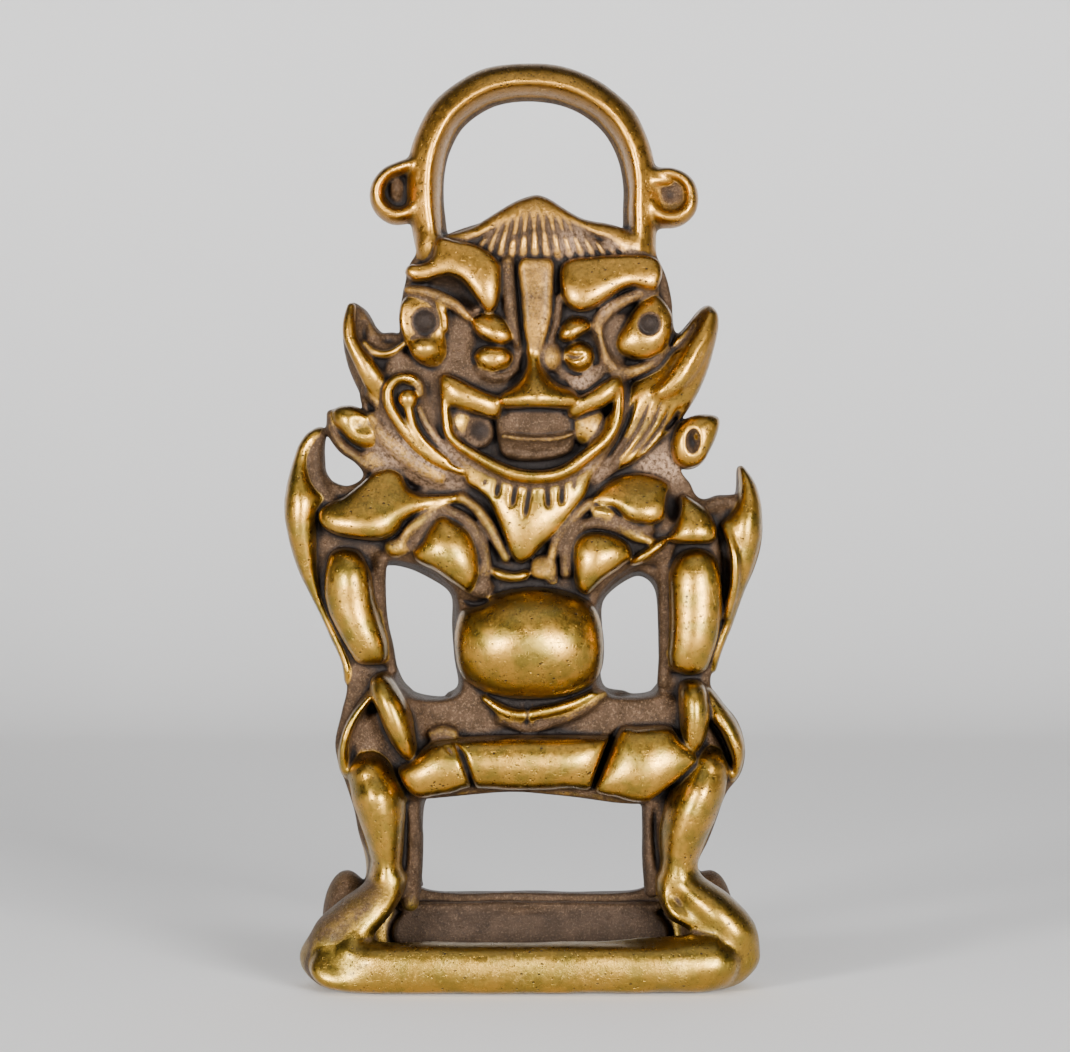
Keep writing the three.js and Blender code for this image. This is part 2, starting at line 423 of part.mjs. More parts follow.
setInside(lump([4.4, 38.0, 2.0], [0.75, 0.7, 0.8], 6, 4));

// Beard: a pointed plate with five short strokes

add(pad([[-3.9, 34.9], [-1.6, 34.9], [0.9, 34.6], [3.1, 34.9], [4.5, 35.3], [4.2, 34.1], [3.1, 32.2],
  [1.9, 30.7], [0.7, 29.2], [-0.2, 28.9], [-0.9, 29.6], [-1.5, 31.4], [-2.4, 33.0], [-3.4, 33.7]],
2.6, 3.9, 0, { full: 0.4, centre: [0.3, 32.8], lean: 0.2 }));
for (let i = 0; i < 4; i += 1) {
  engrave(stroke([-1.7 + 1.35 * i, 34.4], [-1.5 + 1.2 * i, 32.8 - 0.4 * (i % 2)], 3.7, 0.16));
}

// Cheeks: a horned flame at each side, combed on the right, scrolled on the left

add(pad([[-11.7, 46.6], [-12.2, 45.9], [-12.3, 44.1], [-12.1, 42.7], [-11.6, 41.3], [-11.0, 40.4],
  [-9.9, 40.4], [-9.4, 41.5], [-9.8, 42.4], [-10.0, 43.4], [-10.4, 45.0], [-11.1, 46.1]],
1.2, 2.8, LIMB_BACK, { full: 0.5, centre: [-10.9, 42.4] }));
add(pad([[12.8, 46.5], [13.3, 45.5], [13.1, 43.8], [12.6, 42.1], [11.8, 40.4], [10.9, 39.0], [10.1, 38.6],
  [9.6, 40.4], [9.8, 43.0], [10.7, 44.3], [11.7, 45.2], [12.4, 46.1]],
1.2, 2.9, LIMB_BACK, { full: 0.5, centre: [11.4, 42.0] }));
add(pad([[11.6, 43.8], [12.4, 42.1], [11.8, 40.4], [10.7, 38.7], [9.2, 36.9], [7.6, 35.6], [5.6, 35.1],
  [5.9, 36.4], [6.9, 38.1], [7.7, 40.1], [8.9, 41.9], [9.9, 43.3]],
1.4, 2.9, 0, { full: 0.5, centre: [9.2, 39.3] }));
for (let i = 0; i < 5; i += 1) {
  engrave(stroke([8.0 + 0.75 * i, 40.6 + 0.25 * i], [6.3 + 0.7 * i, 36.6 + 0.25 * i], 2.9, 0.13));
}
add(limb([[-6.9, 40.4, 2.2], [-8.1, 41.3, 2.4], [-9.2, 40.6, 2.5], [-9.2, 39.2, 2.5], [-8.1, 37.6, 2.4],
  [-6.8, 36.5, 2.3], [-4.9, 35.1, 2.2]], [0.2, 0.35, 0.38, 0.38, 0.38, 0.35, 0.2],
[0.5, 0.8, 0.8, 0.8, 0.8, 0.7, 0.5], { steps: 10, sides: 4, rooted: true }));
add(limb([[-7.9, 39.8, 2.5], [-7.3, 38.5, 2.4], [-6.4, 37.4, 2.3], [-5.0, 36.3, 2.2]],
  [0.42, 0.3, 0.3, 0.2], [0.8, 0.7, 0.7, 0.5], { steps: 4, sides: 4, rooted: true }));
add(lump([-7.9, 39.9, 2.4], [0.65, 0.65, 0.8], 7, 4));

// Leaf tips below the flames, each with a hollowed bowl

add(pad([[-13.1, 39.4], [-11.8, 39.6], [-10.7, 38.9], [-9.9, 38.0], [-9.9, 37.0], [-11.1, 36.6],
  [-12.1, 37.2], [-12.8, 38.3]], 0.8, 2.5, LIMB_BACK, { full: 0.5, sides: 10 }));
add(pad([[13.4, 38.7], [12.1, 38.7], [10.9, 38.3], [10.3, 37.3], [10.3, 36.3], [10.9, 35.6], [11.8, 35.7],
  [12.4, 36.5], [13.0, 37.5]], 0.8, 2.5, LIMB_BACK, { full: 0.5, sides: 10 }));
engrave(lump([-11.3, 38.0, 2.6], [0.6, 0.6, 0.7], 7, 4));
engrave(lump([11.6, 37.2, 2.6], [0.55, 0.95, 0.8], 7, 4));

// Hanging loop: a ridged band with a curl outside each foot

const loopPath = [[-6.3, 50.4], [-6.9, 53.4], [-6.9, 56.1], [-6.3, 58.1], [-5.1, 60.0], [-2.7, 61.7],
  [0.1, 62.2], [2.8, 61.9], [5.1, 60.9], [6.7, 59.4], [7.8, 57.4], [8.2, 55.0], [8.2, 52.9], [8.2, 50.4]];
add(limb(loopPath.map(([x, z]) => [x, z, 0]),
  [0.9, 1.15, 1.2, 1.1, 1.1, 1.1, 1.1, 1.1, 1.05, 1.0, 0.95, 0.9, 0.9, 0.9],
  loopPath.map(() => LOOP_HALF_DEPTH), { steps: 17, sides: 8 }));
const loopCentre = [0.7, 54.5];
const ridgeInset = 0.085;     // share of the way from the band's middle to the loop's centre
const inward = ([x, z]) => [x + ridgeInset * (loopCentre[0] - x), z + ridgeInset * (loopCentre[1] - z), -0.9];
add(limb(loopPath.map(inward),
  loopPath.map(() => 0.75), loopPath.map(() => 1.3), { steps: 14, sides: 4 }));
add(limb([[-7.2, 56.3, 0.3], [-8.6, 55.9, 0.3], [-9.7, 55.2, 0.3], [-10.0, 54.1, 0.3], [-9.6, 53.1, 0.3],
  [-8.6, 52.7, 0.3], [-7.4, 53.3, 0.3]], [0.6, 0.55, 0.52, 0.55, 0.6, 0.62, 0.6],
[1.4, 1.6, 1.7, 1.7, 1.7, 1.7, 1.5], { steps: 8 }));
add(lump([-8.6, 54.4, -0.5], [1.2, 1.5, 1.2], 7, 4));
add(limb([[8.8, 55.5, 0.3], [10.2, 55.5, 0.5], [11.3, 54.7, 0.6], [11.4, 53.5, 0.7], [10.6, 52.5, 0.8],
  [9.5, 52.6, 0.7], [8.5, 53.4, 0.5]], [0.4, 0.45, 0.52, 0.58, 0.6, 0.55, 0.5],
[1.4, 1.4, 1.4, 1.4, 1.4, 1.4, 1.3], { steps: 8 }));
add(lump([9.9, 53.9, -0.3], [2.0, 1.9, 1.9], 9, 6));

// Back: plain and gently rounded, with the swell of the head, shoulders and seat

add(lump([0.9, 43.4, -2.6], [8.0, 8.2, 2.1], 10, 4));
add(lump([0.3, 30.6, -2.5], [8.6, 3.6, 2.0], 10, 4));
add(lump([0.3, 23.4, -2.6], [4.9, 5.0, 1.7], 10, 4));
add(lump([0.4, 16.4, -2.6], [9.6, 2.9, 2.0], 10, 4));
for (const [x, z, half, tall] of [[-11.6, 25.6, 1.3, 4.6], [11.8, 25.4, 1.4, 4.6], [-9.9, 10.0, 1.4, 5.0],
  [11.0, 10.0, 1.5, 5.0]]) {
  add(lump([x, z, LIMB_BACK + 0.2], [half, tall, 1.0], 6, 4));
}

// The whole casting, set on its foot plate and scaled to its real height

function casting() {
  const pierce = (form) => openings.reduce((whole, space) => whole.subtract(space), form);
  const body = pierce(added.reduce((whole, form) => whole.add(form)));
  const cut = engraved.reduce((whole, form) => whole.subtract(form), body);
  const finished = setIn.reduce((whole, form) => whole.add(form), cut);
  const mesh = finished.getMesh();
  const geometry = new THREE.BufferGeometry();
  const positions = new Float32Array(mesh.numVert * 3);
  for (let i = 0; i < mesh.numVert; i += 1) {
    for (let axis = 0; axis < 3; axis += 1) {
      positions[3 * i + axis] = mesh.vertProperties[mesh.numProp * i + axis];
    }
  }
  geometry.setAttribute('position', new THREE.BufferAttribute(positions, 3));
  geometry.setIndex(new THREE.BufferAttribute(new Uint32Array(mesh.triVerts), 1));
  const scale = HEIGHT / DRAWN_HEIGHT;
  geometry.scale(scale, scale, scale);
  geometry.computeBoundingBox();
  const { min, max } = geometry.boundingBox;
  geometry.translate(-(min.x + max.x) / 2, -(min.y + max.y) / 2, -min.z);
  geometry.computeVertexNormals();
  return geometry;
}

const agedBrass = new THREE.MeshStandardMaterial({ color: 0x94702c, roughness: 0.36, metalness: 1 });
const figure = new THREE.Mesh(casting(), agedBrass);
figure.name = 'guardian_pendant';

const part = new THREE.Group();
part.add(figure);

export default part;
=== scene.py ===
# %% [markdown]
# # A cast brass guardian pendant
#
# The real object is a small amulet, about 63 mm tall: a grotesque guardian squats on
# a foot plate, and a loop over its head takes a cord. It is one lost-wax casting. Its
# domed pads are polished by years of handling, and its sunken grounds are dark and dull.
#
# The lesson follows the caster. First a wax is built up from plates, rolls and pads,
# then it is scored with a point, then it is skinned as a mesh, and last it is coloured.
# The wax is a block of numbers: each says how far that place is from the surface, with
# a minus sign inside the metal. Such a block melts forms into each other with soft
# fillets, as warm wax does, which separate meshes can't do.

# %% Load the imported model
import math
import bmesh
import bpy
import numpy as np
import openvdb
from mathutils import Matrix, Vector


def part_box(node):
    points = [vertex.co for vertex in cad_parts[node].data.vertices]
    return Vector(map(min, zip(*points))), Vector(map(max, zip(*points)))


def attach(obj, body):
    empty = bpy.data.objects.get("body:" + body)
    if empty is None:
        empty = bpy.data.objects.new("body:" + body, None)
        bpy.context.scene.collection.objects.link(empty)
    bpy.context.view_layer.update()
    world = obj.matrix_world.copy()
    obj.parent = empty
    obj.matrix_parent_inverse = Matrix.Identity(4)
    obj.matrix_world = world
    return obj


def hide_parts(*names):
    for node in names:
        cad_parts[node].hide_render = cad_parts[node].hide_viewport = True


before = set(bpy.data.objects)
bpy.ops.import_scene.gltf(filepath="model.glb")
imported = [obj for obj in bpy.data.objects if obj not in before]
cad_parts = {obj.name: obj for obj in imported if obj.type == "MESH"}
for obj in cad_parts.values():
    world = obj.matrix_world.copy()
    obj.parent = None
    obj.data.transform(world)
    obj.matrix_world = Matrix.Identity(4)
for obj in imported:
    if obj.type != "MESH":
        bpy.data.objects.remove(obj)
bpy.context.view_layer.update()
node = "guardian_pendant"
node_low, node_high = (np.array(corner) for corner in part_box(node))
print("casting, mm:", np.round((node_high - node_low) * 1000, 1))

# %% [markdown]
# ## The camera
#
# The photograph looks straight at the face from close by, so the camera is level, at
# the middle of the figure's height, about a hand's length away. The frame it takes in
# is 1070 by 1052 pixels, and a pixel is 0.0687 mm at the middle of the casting.

# %% Set the camera
MM = 0.001
PHOTO_WIDTH = 1070
PHOTO_HEIGHT = 1052
PIXEL_MM = 0.0687
VIEW_DISTANCE_MM = 240
VIEW_CENTRE_X = 0.8
VIEW_CENTRE_Z = 31.55
SENSOR = 36.0

camera_data = bpy.data.cameras.new("straight_view")
camera_data.sensor_fit = "HORIZONTAL"
camera_data.sensor_width = SENSOR
camera_data.lens = SENSOR * VIEW_DISTANCE_MM / (PHOTO_WIDTH * PIXEL_MM)
camera_data.clip_start = 0.01
camera = bpy.data.objects.new("straight_view", camera_data)
camera.location = (VIEW_CENTRE_X * MM, -VIEW_DISTANCE_MM * MM, VIEW_CENTRE_Z * MM)
camera.rotation_euler = (math.radians(90), 0, 0)
bpy.context.collection.objects.link(camera)
bpy.context.scene.camera = camera
print("lens, mm:", round(camera_data.lens, 1))

# %% [markdown]
# ## The block of wax
#
# Every form is given in millimetres: x to the right, z up, and "front", the distance
# towards the viewer from the middle of the casting. The block holds one distance for
# each small cube. Each form only touches its own corner of the block, its window.

# %% Make the block
CUBE = 0.125
BLOCK_LOW = np.array([-17.6, -7.6, -1.0])
BLOCK_HIGH = np.array([17.8, 7.6, 64.6])
WHOLE_DEPTH = 8.0
counts = np.ceil((BLOCK_HIGH - BLOCK_LOW) / CUBE).astype(int) + 1
lines = [BLOCK_LOW[axis] + CUBE * np.arange(counts[axis], dtype=np.float32) for axis in range(3)]
wax = np.full(counts, 3.0, np.float32)
polish = np.zeros(counts, np.float32)
print("cubes in the block:", wax.size)


def window(low, high):
    """The part of the block around a form, with its x, y and z lines."""
    place = []
    near = []
    for axis in range(3):
        first = max(int((low[axis] - BLOCK_LOW[axis]) / CUBE) - 1, 0)
        last = min(int((high[axis] - BLOCK_LOW[axis]) / CUBE) + 3, counts[axis])
        place.append(slice(first, last))
        near.append(lines[axis][first:last])
    return tuple(place), near[0], near[1], near[2]


def weigh(step):
    """Prints how much metal the block holds after a step."""
    print(step, "done, metal so far in cm3:", round(float((wax < 0).sum()) * CUBE ** 3 / 1000, 2))


# %% [markdown]
# ## Melting forms together and cutting them away
#
# The smaller of two distances is the union of two forms. Rounding that choice off
# where the two are nearly equal leaves a fillet, as a hot tool does where two pieces of
# wax meet. The larger of two distances is what they have in common.
#
# Hands have polished the pads and left the grounds dull. So a second block keeps how
# polished each place is: a form that is joined brings its own polish with it.

# %% Soft joins and cuts
def soft_less(a, b, fillet):
    blend = np.maximum(fillet - np.abs(a - b), 0) / fillet
    return np.minimum(a, b) - blend * blend * (fillet / 4)


def soft_more(a, b, fillet):
    return -soft_less(-a, -b, fillet)


def join(place, form, fillet, shine):
    wins = np.clip(0.5 + (wax[place] - form) / max(fillet, CUBE), 0, 1)
    polish[place] += wins * (shine - polish[place])
    wax[place] = soft_less(wax[place], form, fillet)


def carve(place, form, fillet, shine):
    wins = np.clip(0.5 + (-form - wax[place]) / max(fillet, CUBE), 0, 1)
    polish[place] += wins * (shine - polish[place])
    wax[place] = soft_more(wax[place], -form, fillet)


print("two surfaces 0.1 mm away melt to:", round(float(soft_less(0.1, 0.1, 0.4)), 3))

# %% [markdown]
# ## Outlines
#
# A pad or a plate starts as an outline drawn with a few points. A smooth closed curve
# through them gives the real edge, and then every place in the picture plane gets its
# distance to that edge. Paths of rolls and scored lines are the same curve left open.

# %% Curves through a few points
def between(a, b, low, high, t):
    return ((high - t) * a + (t - low) * b) / (high - low)


def curve_through(points, closed=False, spacing=0.2):
    """A smooth curve through the points, which stays close to their straight lines."""
    points = np.asarray(points, float)
    if closed:
        ring = np.vstack([points[-1], points, points[:2]])
    else:
        ring = np.vstack([2 * points[0] - points[1], points, 2 * points[-1] - points[-2]])
    found = []
    for p0, p1, p2, p3 in zip(ring, ring[1:], ring[2:], ring[3:]):
        knots = [0.0]
        for a, b in ((p0, p1), (p1, p2), (p2, p3)):
            knots.append(knots[-1] + max(float(np.linalg.norm((b - a)[:2])), 1e-3) ** 0.5)
        t0, t1, t2, t3 = knots
        steps = max(int(np.linalg.norm((p2 - p1)[:2]) / spacing), 1)
        t = np.linspace(t1, t2, steps, endpoint=False)[:, None]
        a1 = between(p0, p1, t0, t1, t)
        a2 = between(p1, p2, t1, t2, t)
        a3 = between(p2, p3, t2, t3, t)
        b1 = between(a1, a2, t0, t2, t)
        b2 = between(a2, a3, t1, t3, t)
        found.append(between(b1, b2, t1, t2, t))
    if not closed:
        found.append(points[-1:])
    return np.vstack(found)


def edge_distance(loop, x, z):
    """The distance to a closed outline in the picture plane, below zero inside it."""
    px = x[:, None]
    pz = z[None, :]
    nearest = np.full((x.size, z.size), 1e6, np.float32)
    inside = np.zeros(nearest.shape, bool)
    for (ax, az), (bx, bz) in zip(loop, np.roll(loop, -1, axis=0)):
        run_x, run_z = bx - ax, bz - az
        length = run_x * run_x + run_z * run_z + 1e-12
        along = np.clip(((px - ax) * run_x + (pz - az) * run_z) / length, 0, 1)
        gap = (px - ax - along * run_x) ** 2 + (pz - az - along * run_z) ** 2
        np.minimum(nearest, gap, out=nearest)
        if az != bz:
            crosses = ((az > pz) != (bz > pz)) & (px < (pz - az) * run_x / (bz - az) + ax)
            inside ^= crosses
    return np.where(inside, -1, 1) * np.sqrt(nearest)


square = [(0, 0), (10, 0), (10, 10), (0, 10)]
print("points on a smoothed square:", len(curve_through(square, closed=True)))

# %% [markdown]
# Many outlines were traced over the photograph, so they are written as its columns and
# rows of pixels. One pixel is 0.0687 mm at the middle of the casting, and a little less
# in front of it, because near things look larger. Forms traced in the plane of the pads,
# 3 mm in front of the middle, need no third number.

# %% From the photograph to millimetres
PADS_FRONT = 3.0
TRACED_CENTRE_X = 0.755


def spot(column, row, front=None):
    """A place of the photograph as x and z, and as x, z and front where front is given."""
    scale = PIXEL_MM * (1 - (PADS_FRONT if front is None else front) / VIEW_DISTANCE_MM)
    x = TRACED_CENTRE_X + (column - PHOTO_WIDTH / 2) * scale
    z = VIEW_CENTRE_Z + (PHOTO_HEIGHT / 2 - row) * scale
    return (x, z) if front is None else (x, z, front)


def traced(spots):
    return [spot(*given) for given in spots]


print("the middle of the photograph, mm:", spot(PHOTO_WIDTH / 2, PHOTO_HEIGHT / 2))

# %% [markdown]
# ## Plates and openings
#
# A plate is a flat layer of wax with softened edges. The sunken grounds of the head,
# chest, hips and limbs are plates. The openings beside the trunk, between the legs and
# under the loop are cut through them with draft: they widen towards the front, so that
# their dark side walls show in the photograph.

# %% Plates and openings
def plate(outline, back, front, edge=0.5, fillet=0.4, shine=0.12):
    loop = curve_through(outline, closed=True)
    low, high = loop.min(0), loop.max(0)
    reach = fillet + 0.4
    place, x, y, z = window((low[0] - reach, -front - reach, low[1] - reach),
                            (high[0] + reach, -back + reach, high[1] + reach))
    side = edge_distance(loop, x, z)[:, None, :]
    middle = -(front + back) / 2
    half = (front - back) / 2
    face = (np.abs(y - middle) - half)[None, :, None]
    join(place, soft_more(side, face, edge), fillet, shine)


def open_through(outline, draft, fillet=0.5, shine=0.2):
    """An opening whose outline is given at its back edge."""
    loop = curve_through(outline, closed=True)
    low, high = loop.min(0) - 2.5, loop.max(0) + 2.5
    place, x, y, z = window((low[0], -WHOLE_DEPTH, low[1]), (high[0], WHOLE_DEPTH, high[1]))
    side = edge_distance(loop, x, z)[:, None, :]
    front = -y[None, :, None]
    carve(place, side - draft * np.clip(front + 2, 0, 8), fillet, shine)


def hollow(outline, floor, edge=0.3, fillet=0.15, shine=0.0):
    """Takes away everything in front of a floor, inside an outline."""
    loop = curve_through(outline, closed=True)
    low, high = loop.min(0) - 0.8, loop.max(0) + 0.8
    place, x, y, z = window((low[0], -WHOLE_DEPTH, low[1]), (high[0], 0.8 - floor, high[1]))
    side = edge_distance(loop, x, z)[:, None, :]
    form = soft_more(side, (floor + y)[None, :, None], edge)
    carve(place, form, fillet, shine)


print("an opening is cut through this many mm:", 2 * WHOLE_DEPTH)

# %% [markdown]
# ## Pads
#
# The pads are what the eye sees first: brows, shoulders, chest, belly, arms, thighs.
# Each one swells like a rubber sheet blown up over its outline. Solving for that sheet
# is simple: every place becomes the average of its neighbours plus a little, again and
# again, while the edge stays at zero. The lower edge of most pads stands out furthest.

# %% Pads
def swell(side):
    """A height of 1 at the crown of an outline, falling smoothly to 0 at its edge."""
    inside = side < 0
    depth = np.where(inside, -side, 0)
    deepest = max(float(depth.max()), CUBE)
    sheet = 1 - (1 - depth / deepest) ** 2
    push = (CUBE / deepest) ** 2
    rounds = int(min(40 + 9 * deepest / CUBE, 320))
    for _ in range(rounds):
        total = np.zeros_like(sheet)
        total[1:] += sheet[:-1]
        total[:-1] += sheet[1:]
        total[:, 1:] += sheet[:, :-1]
        total[:, :-1] += sheet[:, 1:]
        sheet = np.where(inside, total / 4 + push / 2, 0)
    return sheet / sheet.max()


def pad(outline, rim, crown, root=0.2, full=0.42, lean=0.0, edge=0.3, fillet=0.12, shine=1.0, grow=0.1):
    """A domed pad: its edge stands at rim, its highest place at crown."""
    loop = curve_through(outline, closed=True)
    low, high = loop.min(0) - grow, loop.max(0) + grow
    reach = fillet + 0.4
    place, x, y, z = window((low[0] - reach, -crown - reach, low[1] - reach),
                            (high[0] + reach, -root + reach, high[1] + reach))
    side = edge_distance(loop, x, z) - grow
    dome = swell(side) ** full
    tall = max(high[1] - low[1], 0.5) / 2
    lower = np.clip(((high[1] + low[1]) / 2 - z) / tall, -1, 1)
    tilt = ((1 + lean * lower) / (1 + 0.6 * lean))[None, :]
    height = rim + (crown - rim) * dome * tilt
    slope_x, slope_z = np.gradient(height, CUBE)
    steep = np.sqrt(1 + np.minimum(slope_x ** 2 + slope_z ** 2, 9))
    front = -y[None, :, None]
    top = (front - height[:, None, :]) / steep[:, None, :]
    form = soft_more(top, side[:, None, :], edge)
    upper = np.clip((front - rim + 0.5) / 0.5, 0, 1)
    join(place, np.maximum(form, root - front), fillet, 0.15 + (shine - 0.15) * upper)


disc = np.hypot(lines[0][:, None], lines[0][None, :]) - 3
high_part = (swell(disc) > 0.5).sum() / (disc < 0).sum()
print("share of a round pad above half its height:", round(float(high_part), 2))

# %% [markdown]
# ## Rolls and balls
#
# A roll of wax is an oval section led along a path. Its half width and half depth may
# change on the way, so one helper makes limbs, wings, the loop, the lips and the thin
# strips. A strip is rooted: its back reaches down into the plate it lies on.

# %% Rolls and balls
def along_path(path, x, z, *values):
    """For each place, the nearest point of a path: its gap, and the path's values there."""
    px = x[:, None]
    pz = z[None, :]
    best = np.full((x.size, z.size), 1e6, np.float32)
    gaps = np.full(best.shape, 1e6, np.float32)
    found = [np.zeros(best.shape, np.float32) for _ in values]
    for i in range(len(path) - 1):
        (ax, az), (bx, bz) = path[i][:2], path[i + 1][:2]
        run_x, run_z = bx - ax, bz - az
        length = run_x * run_x + run_z * run_z + 1e-12
        t = np.clip(((px - ax) * run_x + (pz - az) * run_z) / length, 0, 1)
        gap = np.sqrt((px - ax - t * run_x) ** 2 + (pz - az - t * run_z) ** 2)
        here = [value[i] + t * (value[i + 1] - value[i]) for value in values]
        share_of_width = gap / np.maximum(here[0], 0.02)
        closer = share_of_width < best
        best = np.where(closer, share_of_width, best)
        gaps = np.where(closer, gap, gaps)
        found = [np.where(closer, new, old) for new, old in zip(here, found)]
    return [gaps] + found


def spread(values, path):
    """Values given at even steps of a path, worked out for each of its points."""
    return np.interp(np.linspace(0, 1, len(path)), np.linspace(0, 1, len(values)), values)


def roll(path, widths, depths, fillet=0.2, root=None, shine=1.0):
    """A roll along [x, z, front] points, with half widths and half depths."""
    smooth = curve_through(path)
    wide = spread(widths, smooth)
    deep = spread(depths, smooth)
    low, high = smooth.min(0), smooth.max(0)
    reach = max(widths) + fillet + 0.4
    rise = max(depths) + fillet + 0.4
    back = low[2] - rise if root is None else root - 0.3
    place, x, y, z = window((low[0] - reach, -high[2] - rise, low[1] - reach),
                            (high[0] + reach, -back, high[1] + reach))
    gap, w, d, front = along_path(smooth, x, z, wide, deep, smooth[:, 2])
    gap, w, d, front = (value[:, None, :] for value in (gap, w, d, front))
    out = -y[None, :, None] - front
    if root is not None:
        d = np.where(out < 0, front - root, d)
    ratio = np.sqrt((gap / w) ** 2 + (out / d) ** 2)
    pull = np.sqrt((gap / w ** 2) ** 2 + (out / d ** 2) ** 2) + 1e-6
    if root is not None:
        shine = shine * np.clip(0.6 + out / w, 0, 1)
    join(place, ratio * (ratio - 1) / pull, fillet, shine)


def strip(spots, widths, depth=0.6, fillet=0.35, shine=1.0):
    """A rooted roll over traced places, with the same half depth all along."""
    roll(traced(spots), widths, [depth] * 2, fillet, 0.5, shine)


def oval(centre, radii, x, y, z):
    """The distance to an oval ball at [x, z, front] with half sizes in the same order."""
    parts = (x[:, None, None] - centre[0], z[None, None, :] - centre[1], -y[None, :, None] - centre[2])
    ratio = np.sqrt(sum((part / radius) ** 2 for part, radius in zip(parts, radii)))
    pull = np.sqrt(sum((part / radius ** 2) ** 2 for part, radius in zip(parts, radii))) + 1e-6
    return ratio * (ratio - 1) / pull


def around(centre, radii, reach):
    x, z, front = centre
    wide, tall, deep = radii
    low = (x - wide - reach, -front - deep - reach, z - tall - reach)
    high = (x + wide + reach, -front + deep + reach, z + tall + reach)
    return window(low, high)


def ball(centre, radii, fillet=0.2, shine=1.0):
    place, x, y, z = around(centre, radii, fillet + 0.4)
    join(place, oval(centre, radii, x, y, z), fillet, shine)


def scoop(centre, radii, fillet=0.15, shine=0.0):
    place, x, y, z = around(centre, radii, fillet + 0.4)
    carve(place, oval(centre, radii, x, y, z), fillet, shine)


print("half widths between two given ones:", spread([1, 3], range(5)))

# %% [markdown]
# ## Scoring the wax
#
# Hair, folds and creases are scored with a point. Adding a little to every distance
# under the point's path sinks the surface there by that much, whatever its shape, so a
# scored line follows a dome as the real tool did. Taking some away raises a welt.

# %% Scored lines
def score(path, width, depth, facing=1):
    """Sinks a line into the front (facing 1) or the back (facing -1)."""
    smooth = curve_through(path)
    wide = spread([0.35, 1, 1, 1, 0.35], smooth) * width
    low, high = smooth.min(0), smooth.max(0)
    reach = 2.2 * width
    place, x, y, z = window((low[0] - reach, -WHOLE_DEPTH, low[1] - reach),
                            (high[0] + reach, WHOLE_DEPTH, high[1] + reach))
    gap, w = along_path(smooth, x, z, wide)
    cut = depth * (w / width) * np.exp(-(gap / (0.75 * w)) ** 2)
    toward = np.clip(0.5 - facing * y / 1.5, 0, 1)[None, :, None]
    wax[place] += (cut[:, None, :] * toward).astype(np.float32)
    dull = np.clip(cut / abs(depth), 0, 1)[:, None, :] * toward
    polish[place] *= 1 - dull if depth > 0 else 1


def scores(paths, width, depth):
    for path in paths:
        score(traced(path), width, depth)


print("a scored line's width from end to end:", spread([0.35, 1, 1, 1, 0.35], range(9)).round(2))

# %% [markdown]
# ## The sunken grounds
#
# The trunk is one plate through the shoulders, arms, hips and legs. The chest and the
# hips stand a step higher, and so does the face on the plate of the head. Nothing here
# is polished: fingers slide over the pads and never reach the grounds.

# %% Trunk and head plates
TRUNK_BACK = -2.6
GROUND_SHINE = 0.16
trunk_left = [
    (-5.4, 35.4), (-8.5, 35.9), (-10.9, 35.7), (-11.2, 34.7), (-12.2, 34.2), (-13.1, 34.4), (-13.9, 34.9),
    (-15.0, 35.2), (-15.9, 34.6), (-16.4, 33.6), (-16.4, 31.8), (-15.9, 29.7), (-15.3, 27.8),
    (-14.5, 26.5), (-13.6, 24.7), (-12.7, 23.0), (-12.2, 21.5), (-12.2, 20.1), (-12.6, 18.6),
    (-13.0, 16.5), (-12.7, 14.9), (-12.3, 13.8), (-11.8, 12.2), (-11.3, 10.1), (-10.5, 8.5), (-10.6, 6.6)]
trunk_right = [
    (12.0, 6.6), (11.7, 8.1), (12.5, 9.3), (13.3, 11.2), (14.0, 13.1), (14.6, 13.9), (15.0, 14.5),
    (15.3, 15.8), (15.1, 17.1), (14.4, 18.5), (13.2, 19.6), (12.9, 20.3), (12.9, 21.1), (13.4, 22.5),
    (14.3, 24.4), (15.0, 26.5), (15.9, 28.4), (16.4, 30.2), (16.4, 32.0), (15.9, 33.2), (15.2, 33.7),
    (14.5, 33.5), (13.7, 33.1), (12.8, 33.0), (11.9, 33.5), (11.3, 34.6), (9.3, 35.4), (5.2, 34.8)]
chest_ground = [
    (-8.0, 33.6), (-9.4, 31.0), (-9.2, 28.9), (-6.4, 28.2), (-4.6, 26.8), (5.2, 26.8), (6.4, 27.8),
    (7.8, 28.7), (10.0, 29.2), (10.4, 33.4)]
hip_ground = [
    (-4.7, 33), (-4.7, 20.6), (-8.6, 19.8), (-11, 17.4), (-10.2, 13.9), (-6, 13.2), (8, 13.2),
    (12.6, 14.4), (12.9, 17.6), (9.6, 20.0), (5.4, 20.4), (5.3, 33)]
head_ground = [
    (-7.8, 49.5), (-6.3, 50.9), (-3.7, 52.0), (0.9, 52.8), (5.5, 52.0), (8.3, 50.9), (9.6, 49.1),
    (10.2, 46.9), (10.4, 44.8), (11.6, 43.1), (11.9, 41.5), (11.3, 39.5), (10.4, 38.0), (10.8, 35.4),
    (10.9, 34.0), (5.2, 33.2), (1.1, 33.0), (-3.0, 33.2), (-6.4, 34.2), (-9.6, 35.2), (-11.2, 36.2),
    (-10.9, 38.5), (-11.3, 40.4), (-11.2, 41.8), (-9.8, 42.7), (-8.7, 44.1), (-8.5, 46.3), (-8.2, 48.0)]
face_ground = [
    (-6.4, 48.4), (-4.6, 50.8), (7.0, 50.8), (8.8, 48.6), (7.2, 45.8), (7.0, 42), (7.6, 38), (5.6, 34.6),
    (-3.6, 34.6), (-6.2, 37), (-5.8, 42.5), (-5.8, 45.6)]
plate(trunk_left + [(-9.5, 3), (11, 3)] + trunk_right, TRUNK_BACK, 0.9, shine=GROUND_SHINE)
plate(chest_ground, -3.4, 1.9, edge=0.8, shine=GROUND_SHINE)
plate(hip_ground, -3.4, 1.6, edge=0.8, shine=GROUND_SHINE)
